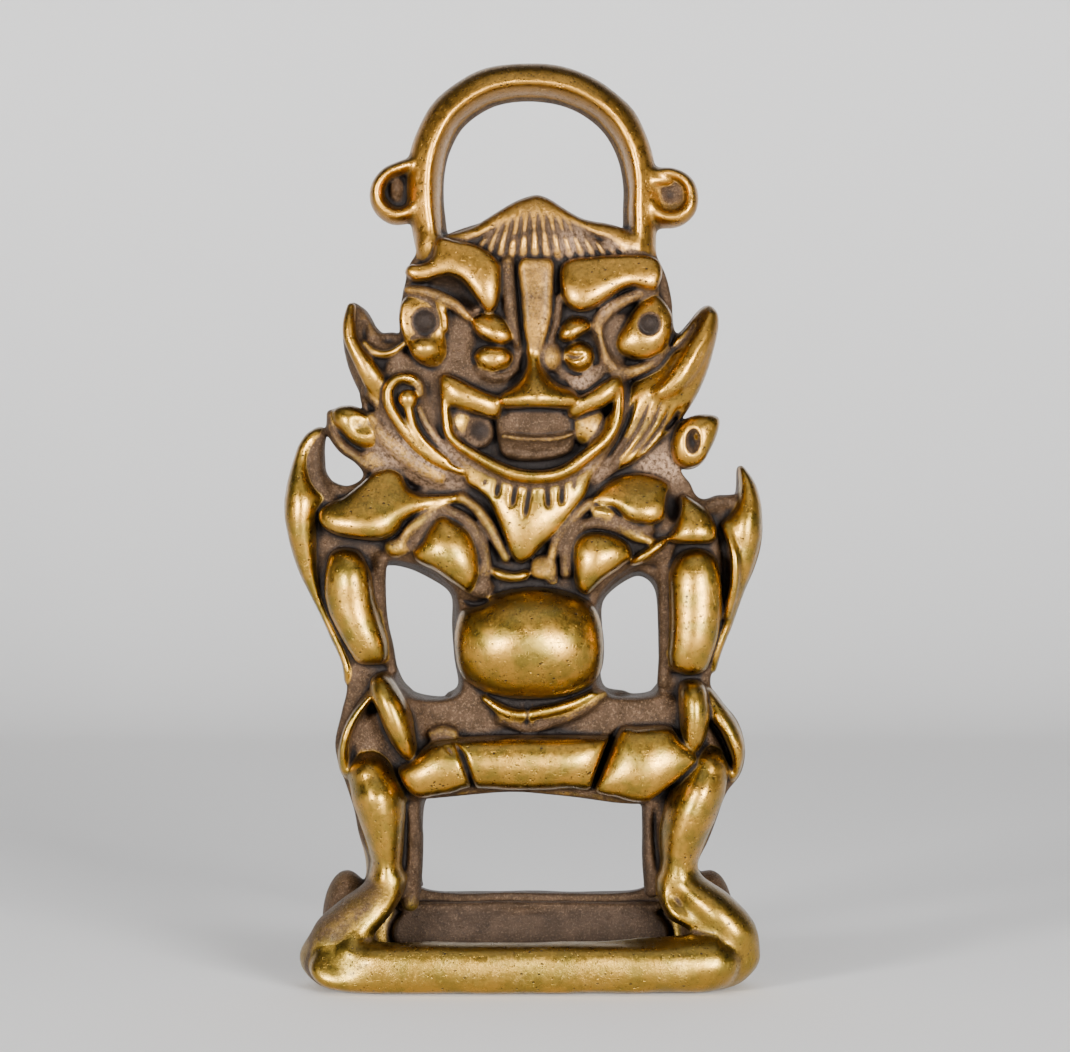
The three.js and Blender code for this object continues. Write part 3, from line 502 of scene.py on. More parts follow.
plate(head_ground, -3.0, 1.2, shine=GROUND_SHINE)
plate(face_ground, -4.0, 2.45, edge=0.9, shine=GROUND_SHINE)
plate(traced([(396, 352), (430, 366), (448, 376), (448, 440), (474, 466), (480, 486), (440, 490),
              (400, 478), (374, 456), (372, 424), (384, 404), (382, 374)]), -1.0, 2.1, edge=0.8,
      fillet=0.7, shine=GROUND_SHINE)
weigh("grounds")

# %% [markdown]
# The openings go through the grounds before the limbs are laid along their edges, so
# the limbs stay whole.

# %% The three openings beside and between the limbs
left_arm_opening = [
    (-9.9, 28.5), (-8.0, 28.5), (-6.2, 27.7), (-5.1, 26.6), (-4.9, 24.7), (-4.8, 22.3), (-4.7, 20.2),
    (-6.4, 19.8), (-8.0, 20.3), (-8.8, 21.5), (-9.4, 24.2), (-9.9, 26.7)]
right_arm_opening = [
    (7.8, 28.0), (8.6, 27.7), (9.1, 27.0), (9.3, 24.7), (9.4, 22.3), (9.3, 20.6), (8.8, 20.1),
    (7.0, 20.0), (5.7, 20.2), (5.4, 20.8), (5.4, 23.0), (5.3, 25.7), (6.0, 26.8)]
leg_opening = [
    (-6.7, 12.6), (-5.8, 12.8), (-1.7, 13.0), (3.9, 12.7), (8.1, 12.4), (8.2, 9.1), (8.2, 6.2),
    (5.3, 5.9), (-0.3, 5.8), (-5.8, 5.9), (-6.9, 6.3), (-7.0, 9.1)]
# The walls are cut with no polish, so they are later painted partly black as shade.
open_through(left_arm_opening, 0.10, shine=0.0)
open_through(right_arm_opening, 0.10, shine=0.0)
open_through(leg_opening, 0.12, shine=0.0)
weigh("the three openings beside and between the limbs")

# %% [markdown]
# ## The foot plate
#
# The plate is an oval bar that lets the amulet stand. A thick roll runs along its front
# edge, wider at the right toe. Behind the roll the floor is sunk, and the feet step
# onto both ends of it.

# %% Foot plate
BASE_HALF_LENGTH = 15.1
BASE_HALF_DEPTH = 6.4
BASE_MIDDLE = 0.4


def bar(x, y, z, half_length, half_depth, top, rounding):
    """A flat bar with round ends, from z = 0 to its top."""
    corner = half_depth * 0.86
    out_x = np.maximum(np.abs(x - BASE_MIDDLE) - (half_length - corner), 0)[:, None]
    out_y = np.maximum(np.abs(y) - (half_depth - corner), 0)[None, :]
    plan = (np.sqrt(out_x ** 2 + out_y ** 2) - corner)[:, :, None]
    level = (np.abs(z - top / 2) - top / 2)[None, None, :]
    return soft_more(plan, level, rounding)


place, x, y, z = window((-16, -7, -0.8), (16.8, 7, 5))
join(place, bar(x, y, z, BASE_HALF_LENGTH, BASE_HALF_DEPTH, 3.3, 1.6), 0.3, 0.62)
roll([(-13.4, 1.9, -1.5), (-13.9, 2.0, 1.6), (-12.6, 1.9, 3.5), (-9.5, 1.85, 3.7), (-4, 1.85, 3.7),
      (2, 1.9, 3.7), (7, 2.0, 3.8), (11.6, 2.1, 4.1), (13.9, 2.2, 2.6), (14.0, 2.4, -1.0)],
     [1.4, 1.5, 1.6, 1.45, 1.4, 1.4, 1.5, 1.8, 1.7, 1.5],
     [1.4, 1.5, 1.6, 1.4, 1.3, 1.3, 1.4, 1.6, 1.6, 1.5], fillet=0.4, shine=0.8)
pad([(-14.5, 1.4), (-13.9, 2.7), (-11.8, 3.35), (-8, 3.25), (-2, 3.2), (4, 3.35), (8.4, 3.5), (9.7, 3.2),
     (9.9, 1.8), (9.2, 0.45), (5, 0.15), (-3, 0.05), (-10, 0.05), (-13.6, 0.35)], 4.3, 6.2, root=1.5,
    full=0.34, lean=0.75, edge=0.7, fillet=0.5)
ball((12.0, 1.85, 4.5), (2.6, 1.8, 1.8), fillet=0.35)
plate([(-11.5, 2), (-10.4, 7.4), (-8.4, 7), (-7, 6.1), (0, 5.9), (8.2, 6.1), (9.6, 7), (11.7, 7.4),
       (12.8, 2)], -4.8, -2.2, shine=0.0)
weigh("foot plate")

# %% Sunken floor between the feet
place, x, y, z = window((-12, -5.5, 1.2), (13, 3.6, 6))
sunk = bar(x, y + 0.9, z, 12.2, 3.5, 9.0, 0.8)
level = (1.9 - z)[None, None, :]
# The floor and the wall behind it have a polish below zero, which paints them partly black as shade.
carve(place, soft_more(sunk, level, 0.5), 0.25, -0.02)
plate([(-9.0, 2.6), (-8.4, 4.6), (0, 4.7), (9.2, 4.6), (10.0, 2.6)], -3.6, -1.4, shine=-0.02)
roll([(-8.6, 5.05, -2.0), (0, 5.1, -2.0), (9.4, 5.05, -2.0)], [0.28, 0.3, 0.28], [0.5, 0.5, 0.5],
     fillet=0.3, shine=0.05)
weigh("sunken floor between the feet")

# %% [markdown]
# ## Legs and feet
#
# Each shin is a full roll that thins to the ankle, and a flat wall of metal behind it
# frames the opening. The feet splay outwards onto the ends of the plate.

# %% Legs
roll(traced([(370, 777, 1.6), (375, 790, 1.9), (381, 810, 1.9), (385, 835, 1.6), (387, 860, 1.3),
             (386, 882, 1.1)]), [1.55, 1.8, 1.65, 1.35, 1.05, 0.9], [2.6, 2.9, 2.8, 2.6, 2.4, 2.3],
     fillet=0.5)
roll(traced([(709, 770, 1.6), (703, 787, 1.9), (693, 810, 1.9), (685, 835, 1.7), (680, 860, 1.4),
             (677, 882, 1.2)]), [1.45, 1.75, 1.8, 1.6, 1.3, 1.1], [2.7, 3.0, 3.0, 2.8, 2.6, 2.4],
     fillet=0.5)
roll(traced([(411, 803, 0.2), (413, 840, 0.2), (413, 875, 0.2), (410, 905, 0.4)]), [0.6, 0.7, 0.65, 0.6],
     [1.0, 1.0, 1.0, 1.1], fillet=0.35, shine=0.3)
roll(traced([(650, 806, 0.1), (650, 845, 0.0), (652, 893, 0.3)]), [0.5, 0.5, 0.5], [1.0, 1.0, 1.0],
     fillet=0.35, shine=0.12)
score(traced([(405, 806), (405, 840), (403, 870), (400, 892)]), 0.2, 0.35)
score(traced([(656, 812), (657, 845), (661, 880)]), 0.25, 0.45)
score(traced([(412, 815), (413, 850), (412, 890)]), 0.14, 0.12)
weigh("legs")

# %% Feet
roll(traced([(386, 880, 1.2), (377, 897, 1.8), (355, 918, 2.3), (333, 940, 2.5), (324, 960, 2.2)]),
     [0.95, 1.25, 1.5, 1.6, 1.4], [2.2, 2.4, 2.4, 2.2, 1.8], fillet=0.8, shine=0.36)
roll(traced([(396, 882, 2.0), (390, 900, 2.5), (376, 918, 3.2), (358, 936, 3.9), (349, 952, 4.4)]),
     [0.5, 0.6, 0.65, 0.6, 0.6], [1.3, 1.4, 1.3, 1.0, 1.0], fillet=0.8, shine=0.85)
roll(traced([(680, 880, 1.4), (696, 897, 2.0), (716, 914, 2.6), (735, 936, 2.8), (741, 958, 2.4)]),
     [1.1, 1.35, 1.55, 1.6, 1.4], [2.3, 2.5, 2.4, 2.2, 1.8], fillet=0.8)
roll(traced([(668, 884, 1.9), (668, 900, 2.3), (676, 914, 2.8), (694, 923, 3.2), (712, 930, 3.5)]),
     [0.45, 0.55, 0.6, 0.6, 0.5], [1.3, 1.4, 1.3, 1.0, 0.8], fillet=0.8, shine=0.8)
# A lump of metal behind each foot closes the side of the sunken floor.
for heel_x in (-12.3, 12.9):
    ball((heel_x, 4.2, -1.6), (1.7, 3.4, 2.3), fillet=0.6, shine=0.25)
weigh("feet")

# %% [markdown]
# ## Knees and hips
#
# A shell curves around each knee. The thighs and the belt between them are one bar of
# three pads, parted by two slanted slots. The ground above the bar is dark and rough.

# %% Knee shells
pad(traced([(373, 690), (366, 696), (354, 712), (343, 734), (337, 756), (339, 776), (346, 783),
            (350, 772), (349, 752), (354, 730), (366, 708), (374, 700)]), 0.9, 2.4, root=-2.2, full=0.5,
    edge=0.4, shine=0.75)
strip([(369, 700, 2.2), (356, 716, 2.5), (346, 736, 2.6), (342, 756, 2.4), (344, 772, 2.0)],
      [0.2, 0.26, 0.28, 0.26, 0.2], fillet=0.4, shine=0.9)
pad(traced([(708, 690), (716, 696), (729, 712), (741, 730), (747, 752), (744, 772), (736, 786),
            (730, 780), (729, 764), (721, 742), (711, 722), (706, 704)]), 0.9, 3.0, root=-2.2, full=0.5,
    edge=0.4, shine=0.8)
score(traced([(711, 722), (722, 738), (731, 757), (736, 777)]), 0.28, 0.9)
ball(spot(365, 740, 1.2), (1.1, 1.5, 0.8), fillet=0.8, shine=0.1)
weigh("knee shells")

# %% Belt, thighs and belly
belt = traced([
    (399, 772), (411, 765), (424, 752), (434, 745.5), (447, 743), (464, 741.5), (482, 740.5), (515, 740),
    (546, 740), (580, 740), (600, 740), (614, 741), (609, 752), (604, 766), (597, 782), (592, 791),
    (570, 790), (546, 791), (514, 791), (479, 790), (465, 790), (455, 794), (436, 797), (418, 799),
    (408, 792), (402, 782)])
right_thigh = traced([
    (622, 732), (640, 731), (671, 731), (679, 741), (697, 760), (687, 773), (668, 789), (649, 802),
    (637, 803), (617, 798), (597, 793), (597, 785), (604, 770), (612, 753)])
pad(belt, 3.1, 5.0, full=0.4, lean=-0.04, edge=0.55)
pad(right_thigh, 3.3, 5.4, full=0.38, lean=0.1, edge=0.4)
score(traced([(455, 745), (462, 756), (468, 772), (475, 794)]), 0.24, 0.95)
score(traced([(447, 747), (455, 757)]), 0.2, 0.3)
score(traced([(620, 731), (609, 748), (602, 766), (594, 788), (592, 795)]), 0.2, 0.9)
plate(traced([(398, 800), (404, 783), (650, 795), (650, 806), (520, 796)]), -2.4, 1.8, edge=0.5,
      shine=0.4)
belly = traced([
    (455, 650), (456, 630), (461, 615), (471, 608), (482, 602), (494, 597), (512, 592), (530, 590),
    (548, 591), (566, 594), (582, 600), (594, 609), (601, 625), (604, 650), (601, 674), (592, 687),
    (578, 695), (560, 700), (530, 702), (497, 698), (476, 690), (461, 677)])
pad(belly, 2.3, 5.9, full=0.56, edge=0.7)
strip([(484, 700, 2.0), (498, 710, 2.4), (512, 716, 2.6), (528, 718, 2.7)], [0.2, 0.34, 0.38, 0.38], 0.5,
      shine=0.62)
strip([(528, 717, 2.7), (545, 714, 2.7), (565, 709, 2.6), (580, 703, 2.3), (593, 696, 2.0)],
      [0.4, 0.42, 0.38, 0.34, 0.2], 0.5, shine=0.85)
strip([(500, 722, 2.0), (528, 729, 2.2), (556, 723, 2.2), (590, 708, 1.9), (604, 696, 1.6)],
      [0.25, 0.35, 0.38, 0.35, 0.2], 0.5, fillet=0.6, shine=0.26)
score(traced([(527.5, 704), (528, 716), (526, 732)]), 0.16, 0.25)
strip([(432, 736, 2.2), (443, 733, 2.5), (453, 735, 2.6)], [0.3, 0.4, 0.3], 0.5, fillet=0.6, shine=0.3)
weigh("belt, thighs and belly")

# %% [markdown]
# ## Arms and shoulders
#
# Each arm is two long pads, with the forearm coming to a point on the knee. Outside it
# the shoulder wing sweeps up to a hooked tip, thick like a claw. On top lie the domed
# shoulder plates, whose lower edges stand out furthest.

# %% Arms
left_upper_arm = [
    (-12.4, 29.8), (-13.1, 29.6), (-13.5, 28.4), (-13.6, 27.1), (-13.3, 25.7), (-12.7, 24.3),
    (-12.0, 23.1), (-11.3, 22.1), (-10.3, 22.0), (-9.5, 22.2), (-9.4, 23.3), (-9.8, 24.7), (-10.3, 26.6),
    (-10.8, 28.6), (-11.4, 29.6)]
right_upper_arm = [
    (11.8, 29.8), (10.7, 29.4), (10.1, 28.3), (10.1, 26.6), (10.1, 24.2), (10.0, 22.5), (10.2, 21.7),
    (11.4, 21.3), (12.4, 21.6), (12.9, 22.7), (13.3, 24.1), (13.5, 26.0), (13.5, 28.0), (12.9, 29.4)]
left_forearm = traced([
    (372, 682), (381, 677), (389, 682), (399, 696), (409, 716), (413, 738), (415, 757), (411, 764),
    (402, 759), (389, 741), (377, 713), (371, 697)])
right_forearm = traced([
    (684, 687), (694, 684), (704, 687), (709, 705), (709, 728), (704, 746), (695, 757), (686, 753),
    (683, 728), (682, 703)])
pad(left_upper_arm, 2.0, 4.1, full=0.42, edge=0.5)
pad(right_upper_arm, 2.0, 4.1, full=0.42, edge=0.5)
pad(left_forearm, 2.5, 4.8, full=0.5, edge=0.4)
pad(right_forearm, 2.5, 4.7, full=0.5, edge=0.4)
ball(spot(352, 583, 2.8), (0.9, 1.5, 1.25), fillet=0.9)
roll(traced([(380, 562, 0.9), (379, 590, 1.0), (383, 630, 1.0), (389, 655, 0.9), (393, 672, 0.8)]),
     [0.45, 0.45, 0.4, 0.35, 0.3], [0.6] * 5, fillet=0.6, shine=0.2)
roll(traced([(666, 560, 0.9), (664, 600, 1.0), (665, 645, 1.0), (664, 684, 0.9)]), [0.4, 0.35, 0.35, 0.4],
     [0.6] * 4, fillet=0.6, shine=0.15)
weigh("arms")

# %% Shoulder wings
left_wing = [
    (-13.95, 38.1), (-14.7, 37.9), (-15.4, 37.1), (-15.9, 35.7), (-16.3, 34.1), (-16.45, 32.4),
    (-16.2, 30.7), (-15.7, 29.0), (-15.0, 27.3), (-14.2, 25.7), (-13.3, 23.9), (-12.5, 21.9),
    (-12.2, 20.6), (-11.9, 21.4), (-12.3, 22.9), (-13.1, 24.6), (-13.8, 26.2), (-14.2, 28.0),
    (-14.3, 30.2), (-14.2, 32.0), (-13.6, 33.2), (-14.3, 34.0), (-14.75, 34.9), (-14.85, 36.0),
    (-14.5, 37.1)]
right_wing = [
    (14.95, 35.5), (15.6, 34.8), (16.1, 33.8), (16.4, 32.3), (16.3, 30.5), (15.8, 28.6), (15.1, 26.7),
    (14.4, 24.8), (13.7, 23.0), (13.1, 21.4), (13.0, 22.8), (13.7, 24.9), (14.1, 26.8), (14.25, 28.6),
    (14.1, 30.4), (13.7, 31.6), (14.3, 32.4), (14.75, 33.2), (14.9, 34.2)]
pad(left_wing, 0.6, 2.7, root=-2.4, full=0.5, edge=0.5)
pad(right_wing, 0.6, 2.8, root=-2.4, full=0.5, edge=0.5)
roll([(-14.05, 37.6, 0.2), (-14.3, 36.2, 0.1), (-14.2, 34.6, 0.1), (-13.4, 33.2, 0.3)],
     [0.35, 0.6, 0.7, 0.6], [1.1, 1.4, 1.5, 1.3], fillet=0.5, shine=0.05)
roll([(14.3, 33.0, 0.2), (13.4, 33.0, 0.1), (12.6, 32.6, 0.4)], [0.5, 0.55, 0.5], [1.2, 1.2, 1.2],
     fillet=0.5, shine=0.05)
roll(traced([(727, 528, 1.6), (732, 545, 2.2), (736, 562, 2.4), (735, 590, 2.1), (729, 618, 1.5)]),
     [0.3, 0.36, 0.36, 0.32, 0.25], [0.7] * 5, fillet=0.5)
score(traced([(722, 531), (726, 548), (728, 570), (727, 600)]), 0.3, 0.6)
weigh("shoulder wings")

# %% Shoulder plates
left_shoulder = traced([
    (320, 512), (330, 505), (342, 500), (351, 494), (360, 487), (368, 480), (377, 475), (391, 472.5),
    (400, 478), (406, 490), (419, 497), (438, 498), (466, 497), (468, 501.5), (444, 505), (427, 510),
    (413, 516), (401, 524), (395, 534), (381, 541), (358, 540), (336, 536), (323, 529), (318, 520)])
pad(left_shoulder, 2.2, 4.6, full=0.34, lean=0.75, edge=0.35)
right_shoulder = traced([
    (595, 501), (601, 493), (609, 486), (617, 481), (627, 478), (646, 476.5), (662, 481), (672, 490),
    (669, 504), (665, 519), (657, 525), (640, 524.5), (628, 521.5), (619, 512), (611, 507), (603, 507)])
pad(right_shoulder, 2.1, 4.3, full=0.34, lean=0.7, edge=0.35)
right_shoulder_tip = traced([
    (684, 498), (696, 504), (707, 512), (715, 523), (718, 535), (715, 543), (696, 545), (673, 543),
    (670, 540), (678, 529), (680, 517), (678, 508)])
pad(right_shoulder_tip, 2.1, 3.9, full=0.36, lean=0.45, edge=0.35)
scoop(spot(674, 507, 2.4), (0.6, 1.2, 1.6), fillet=0.3)
pad(traced([(632, 566), (636, 559), (648, 551), (660, 542), (668, 540), (668, 546), (656, 556),
            (642, 565)]), 2.0, 3.4, full=0.5, edge=0.3)
strip([(588, 527, 2.0), (605, 525, 2.2), (622, 531, 2.3), (638, 539, 2.4), (652, 543, 2.3)],
      [0.3, 0.34, 0.36, 0.36, 0.3], shine=0.5)
strip([(606, 512, 2.2), (618, 521, 2.4), (634, 530, 2.4), (652, 532, 2.2)], [0.25, 0.3, 0.32, 0.25],
      fillet=0.4, shine=0.25)
strip([(598, 514, 2.6), (609, 516, 2.8)], [0.4, 0.35], 0.5, fillet=0.4, shine=0.6)
strip([(438, 510, 2.2), (424, 520, 2.4), (410, 532, 2.4), (400, 545, 2.2)], [0.3, 0.42, 0.42, 0.35],
      fillet=0.4, shine=0.45)
strip([(446, 514, 2.0), (433, 523, 2.2), (421, 537, 2.2), (410, 552, 1.9)], [0.25, 0.34, 0.36, 0.3],
      fillet=0.4, shine=0.2)
pad(traced([(384, 548), (394, 541), (405, 543), (409, 551), (402, 558), (390, 558)]), 1.6, 2.9, edge=0.3,
    shine=0.45)
weigh("shoulder plates")

# %% [markdown]
# ## Chest, collar and beard
#
# Two rounded plates cover the chest. The collar is a double fold of metal at each side
# of the beard, whose point reaches down between them to a small crescent and a block.

# %% Chest and collar
pad(traced([(441, 519), (451, 523), (466, 532), (474, 546), (478, 566), (476, 584), (468, 593),
            (456, 586), (436, 572), (416, 562), (414, 554), (423, 544), (431, 529)]), 2.6, 4.5, full=0.42,
    lean=0.1, edge=0.4)
pad(traced([(576, 545), (584, 537), (600, 535), (616, 539), (629, 548), (632, 558), (621, 569),
            (608, 578), (597, 587), (587, 596), (579, 591), (576, 572)]), 2.5, 4.4, full=0.42, lean=0.1,
    edge=0.4)
strip([(446, 512, 2.3), (464, 521, 2.5), (477, 536, 2.6), (484, 555, 2.6), (487, 573, 2.4)],
      [0.3, 0.4, 0.42, 0.42, 0.38], shine=0.3)
strip([(462, 500, 2.5), (477, 511, 2.6), (489, 528, 2.7), (498, 545, 2.7), (506, 560, 2.5)],
      [0.3, 0.4, 0.4, 0.36, 0.3], shine=0.35)
strip([(634, 534, 2.0), (612, 527, 2.4), (590, 526, 2.5), (574, 535, 2.6), (567, 552, 2.6),
       (566, 575, 2.4)], [0.3, 0.36, 0.4, 0.42, 0.42, 0.36], shine=0.25)
strip([(590, 505, 2.4), (574, 520, 2.6), (560, 537, 2.7), (553, 555, 2.6), (550, 572, 2.4)],
      [0.3, 0.4, 0.38, 0.36, 0.3], shine=0.35)
pad(traced([(493, 571), (503, 574), (515, 576), (528, 573), (528, 580), (515, 583), (501, 581),
            (494, 577)]), 2.5, 3.4, edge=0.2, shine=0.5)
pad(traced([(533, 563), (544, 558), (555, 563), (556, 578), (544, 581), (533, 578)]), 2.4, 3.4, edge=0.3,
    lean=0.3, shine=0.42)
ball(spot(553, 583, 2.6), (0.4, 0.3, 0.4), fillet=0.4, shine=0.3)
ball(spot(483, 574, 2.6), (0.4, 0.6, 0.6), fillet=0.4, shine=0.3)
ball(spot(481, 590, 2.2), (0.85, 0.7, 0.9), fillet=0.4, shine=0.15)
score(traced([(460, 602), (474, 607), (492, 603)]), 0.3, 0.6)
weigh("chest and collar")

# %% Beard
beard = traced([
    (468, 473), (480, 473), (500, 478), (537, 482), (566, 478), (586, 468), (589, 480), (585, 495),
    (572, 514), (558, 532), (541, 548), (529, 560), (520, 564), (513, 557), (507, 543), (499, 522),
    (489, 502), (477, 490), (468, 484)])
pad(beard, 2.9, 4.2, full=0.42, lean=0.4, edge=0.35, shine=0.8)
scores([[(500, 481), (496, 500)], [(517, 482), (512, 510)], [(531, 485), (525, 521)], [(547, 484),
                                                                                       (549, 511)],
        [(563, 483), (562, 508)]], 0.2, 0.55)
scores([[(486, 480), (484, 489)], [(576, 480), (574, 492)]], 0.15, 0.25)
weigh("beard")

# %% [markdown]
# ## Hair and brows
#
# The crest of hair lies low in front of the loop. The heavy brows are the boldest pads
# of the face: flat slabs that lean forward, so that the lower edge stands over a deep
# hollow. Between them runs a raised strip from the hair down to the nose.

# %% Hair
hair = traced([
    (446, 237), (460, 232), (474, 227), (486, 220), (497, 213), (507, 207), (516, 202), (526, 198),
    (537.5, 195.5), (549, 199), (560, 206), (571, 213), (583, 219), (594, 222), (607, 224), (626, 230),
    (641, 243), (643, 257), (600, 260), (560, 262), (530, 262), (490, 260), (458, 250)])
pad(hair, 1.9, 3.2, root=-2.4, full=0.45, lean=0.25, edge=0.6, shine=0.58)
for i in range(-7, 8):
    top_x = 0.95 + 0.53 * i
    foot_x = 1.2 + 0.83 * i
    top_z = 52.9 - 0.036 * i * i
    score([(top_x, top_z), (0.5 * top_x + 0.5 * foot_x, 51.3 - 0.012 * i * i), (foot_x, 49.5)], 0.2, 0.42)
score(traced([(505, 244), (520, 237), (537, 232)]), 0.2, 0.1)
score(traced([(537, 232), (562, 235), (590, 238), (618, 241)]), 0.2, 0.1)
weigh("hair")

# %% Brows
# These hollows under the brows carry no polish, so they are painted partly black as shade.
scoop(spot(452, 296, 3.0), (2.5, 1.35, 1.9), fillet=0.5)
scoop(spot(622, 304, 3.0), (2.3, 0.9, 1.6), fillet=0.5)
left_brow = traced([
    (441, 241), (454, 243.5), (474, 247), (490, 256), (499, 267), (500.5, 280), (498.5, 297), (494, 311),
    (488, 313.5), (481, 305), (472, 293), (463, 282), (454, 277), (441, 277), (425, 281.5), (412, 280.5),
    (406, 274), (409, 268), (418, 267.5), (428, 264.5), (434.5, 257), (436.5, 246)])
right_brow = traced([
    (563, 268), (571, 262), (596, 259.5), (627, 257.5), (648, 258.5), (658, 262), (662, 270), (661, 281),
    (656, 290), (646, 289.5), (634, 287), (625, 289), (617, 294), (605, 302.5), (594, 309.5), (578, 312),
    (568, 306), (563, 293)])
pad(left_brow, 3.1, 4.6, full=0.3, lean=0.55, edge=0.35)
pad(right_brow, 3.1, 4.7, full=0.3, lean=0.6, edge=0.35)
strip([(408, 292, 2.3), (424, 294, 2.7), (441, 300, 2.9), (456, 308, 2.9), (468, 319, 2.7)],
      [0.3, 0.42, 0.46, 0.42, 0.3], fillet=0.4, shine=0.3)
weigh("brows")

# %% Forehead strip and nose
strip([(508, 264, 2.7), (509, 290, 2.7), (512, 320, 2.7), (516, 346, 2.7)], [0.42, 0.45, 0.42, 0.3],
      fillet=0.4, shine=0.24)
strip([(559, 300, 2.6), (557, 322, 2.7), (552, 340, 2.7)], [0.25, 0.3, 0.25], fillet=0.4, shine=0.16)
pad(traced([(521, 262), (537, 261), (552, 262), (553, 288), (552, 316), (548, 334), (543, 350),
            (542, 366), (547, 378), (522, 378), (527, 366), (528, 350), (525, 332), (522, 300)]), 3.1,
    3.8, full=0.22, lean=-0.15, edge=0.3, grow=0.05, shine=0.42)
nose = traced([
    (529, 350), (537.5, 350), (540, 365), (547, 377), (559, 387), (573, 393), (577, 401), (573, 409),
    (556, 411.5), (537, 412), (518, 411), (505, 409), (501, 402), (506, 395), (515, 388), (524, 377),
    (528, 364)])
pad(nose, 3.2, 5.4, full=0.58, lean=0.3, edge=0.4)
roll(traced([(505, 402, 4.0), (520, 402, 4.4), (537, 401, 4.7), (555, 402, 4.4), (572, 402, 4.0)]),
     [0.38, 0.45, 0.5, 0.45, 0.38], [0.6, 0.7, 0.8, 0.7, 0.6], root=0.5, fillet=0.6)
score(traced([(524, 355), (521, 372), (508, 386)]), 0.28, 0.7)
score(traced([(541, 352), (546, 368), (560, 380)]), 0.2, 0.4)
weigh("forehead strip and nose")

# %% [markdown]
# ## Eyes
#
# There are two pairs. The outer eyes are round bosses, each drilled deep for a dark ball
# of metal. The inner ones are half-closed slits in deep sockets, each under its own lid.

# %% Outer eyes
left_eye = traced([
    (404, 300), (413, 296), (426, 297), (437, 304), (443, 316), (444, 330), (446, 344), (446, 358),
    (438, 367), (426, 367), (416, 360), (408, 347), (401, 330), (400, 312)])
pad(left_eye, 2.1, 3.3, full=0.36, edge=0.4, shine=0.66)
strip([(439, 306, 2.9), (444, 318, 3.0), (445, 331, 2.9)], [0.2, 0.26, 0.2], 0.4, fillet=0.3, shine=0.9)
strip([(404, 308, 2.6), (403, 322, 2.7), (407, 338, 2.7)], [0.22, 0.3, 0.22], 0.4, fillet=0.3, shine=0.9)
ball(spot(425, 351, 2.7), (1.05, 0.85, 1.0), fillet=0.5, shine=0.8)
# A below-zero polish paints the pit black as shade; the ball in it is blackened metal.
scoop(spot(424.5, 322.5, 3.9), (1.02, 1.02, 1.5), fillet=0.12, shine=-0.2)
ball(spot(425, 323, 2.7), (0.84, 0.84, 0.75), fillet=0.05, shine=-0.2)
score(traced([(407, 341), (420, 338), (434, 340)]), 0.2, 0.22)
right_eye = traced([
    (656, 296), (666, 304), (673, 318), (671, 338), (664, 352), (650, 360), (632, 359), (619, 352),
    (618, 340), (625, 328), (632, 317), (639, 307), (648, 299)])
pad(right_eye, 2.1, 3.7, full=0.42, lean=0.15, edge=0.35, shine=0.82)
# A below-zero polish paints the pit black as shade; the ball in it is blackened metal.
scoop(spot(651, 324.5, 4.2), (0.9, 0.9, 1.6), fillet=0.12, shine=-0.2)
ball(spot(651.5, 325, 2.9), (0.74, 0.74, 0.75), fillet=0.05, shine=-0.2)
strip([(657, 293, 2.0), (640, 296, 2.4), (622, 304, 2.6), (607, 314, 2.7), (598, 328, 2.7),
       (600, 346, 2.7), (608, 364, 2.6), (621, 375, 2.5), (638, 372, 2.4), (656, 364, 2.2),
       (669, 351, 1.8)], [0.25, 0.36, 0.42, 0.45, 0.42, 0.38, 0.42, 0.5, 0.4, 0.34, 0.2], 0.5, shine=0.34)
weigh("outer eyes")

# %% Inner eyes
scoop(spot(489, 348, 3.4), (1.75, 2.0, 1.9), fillet=0.5, shine=0.05)
scoop(spot(579, 352, 3.4), (1.5, 1.8, 1.7), fillet=0.5, shine=0.1)
pad(traced([(472, 322), (481, 316), (495, 316), (506, 324), (512, 340), (506, 345), (492, 343.5),
            (479, 336)]), 2.6, 4.0, full=0.4, lean=0.35, edge=0.3)
pad(traced([(560, 340), (563, 327), (573, 319), (586, 321), (591, 329), (583, 335), (574, 341),
            (565, 343)]), 2.6, 4.0, full=0.42, lean=0.3, edge=0.3)
pad(traced([(475, 358), (481, 350), (494, 348), (506, 350), (513, 359), (508, 369), (495, 373),
            (482, 370)]), 2.3, 3.6, full=0.45, edge=0.3, shine=0.66)
scoop(spot(490, 358, 3.75), (0.42, 0.18, 0.3), fillet=0.15, shine=0.3)
strip([(478, 371, 2.3), (490, 378, 2.5), (504, 379, 2.5), (515, 372, 2.3)], [0.22, 0.32, 0.32, 0.22], 0.5,
      fillet=0.4, shine=0.2)
pad(traced([(565, 352), (572, 344), (584, 343), (593, 350), (595, 362), (588, 373), (576, 374),
            (567, 366)]), 2.0, 3.6, full=0.5, edge=0.35, shine=0.85)
score(traced([(567, 356), (575, 360), (586, 357)]), 0.17, 0.4)
pad(traced([(566, 376), (580, 378), (594, 368), (605, 365), (607, 373), (598, 384), (582, 394),
            (571, 389)]), 2.2, 3.0, full=0.4, edge=0.3, shine=0.3)
ball(spot(550, 359, 2.6), (0.8, 0.95, 0.85), fillet=0.6, shine=0.42)
weigh("inner eyes")
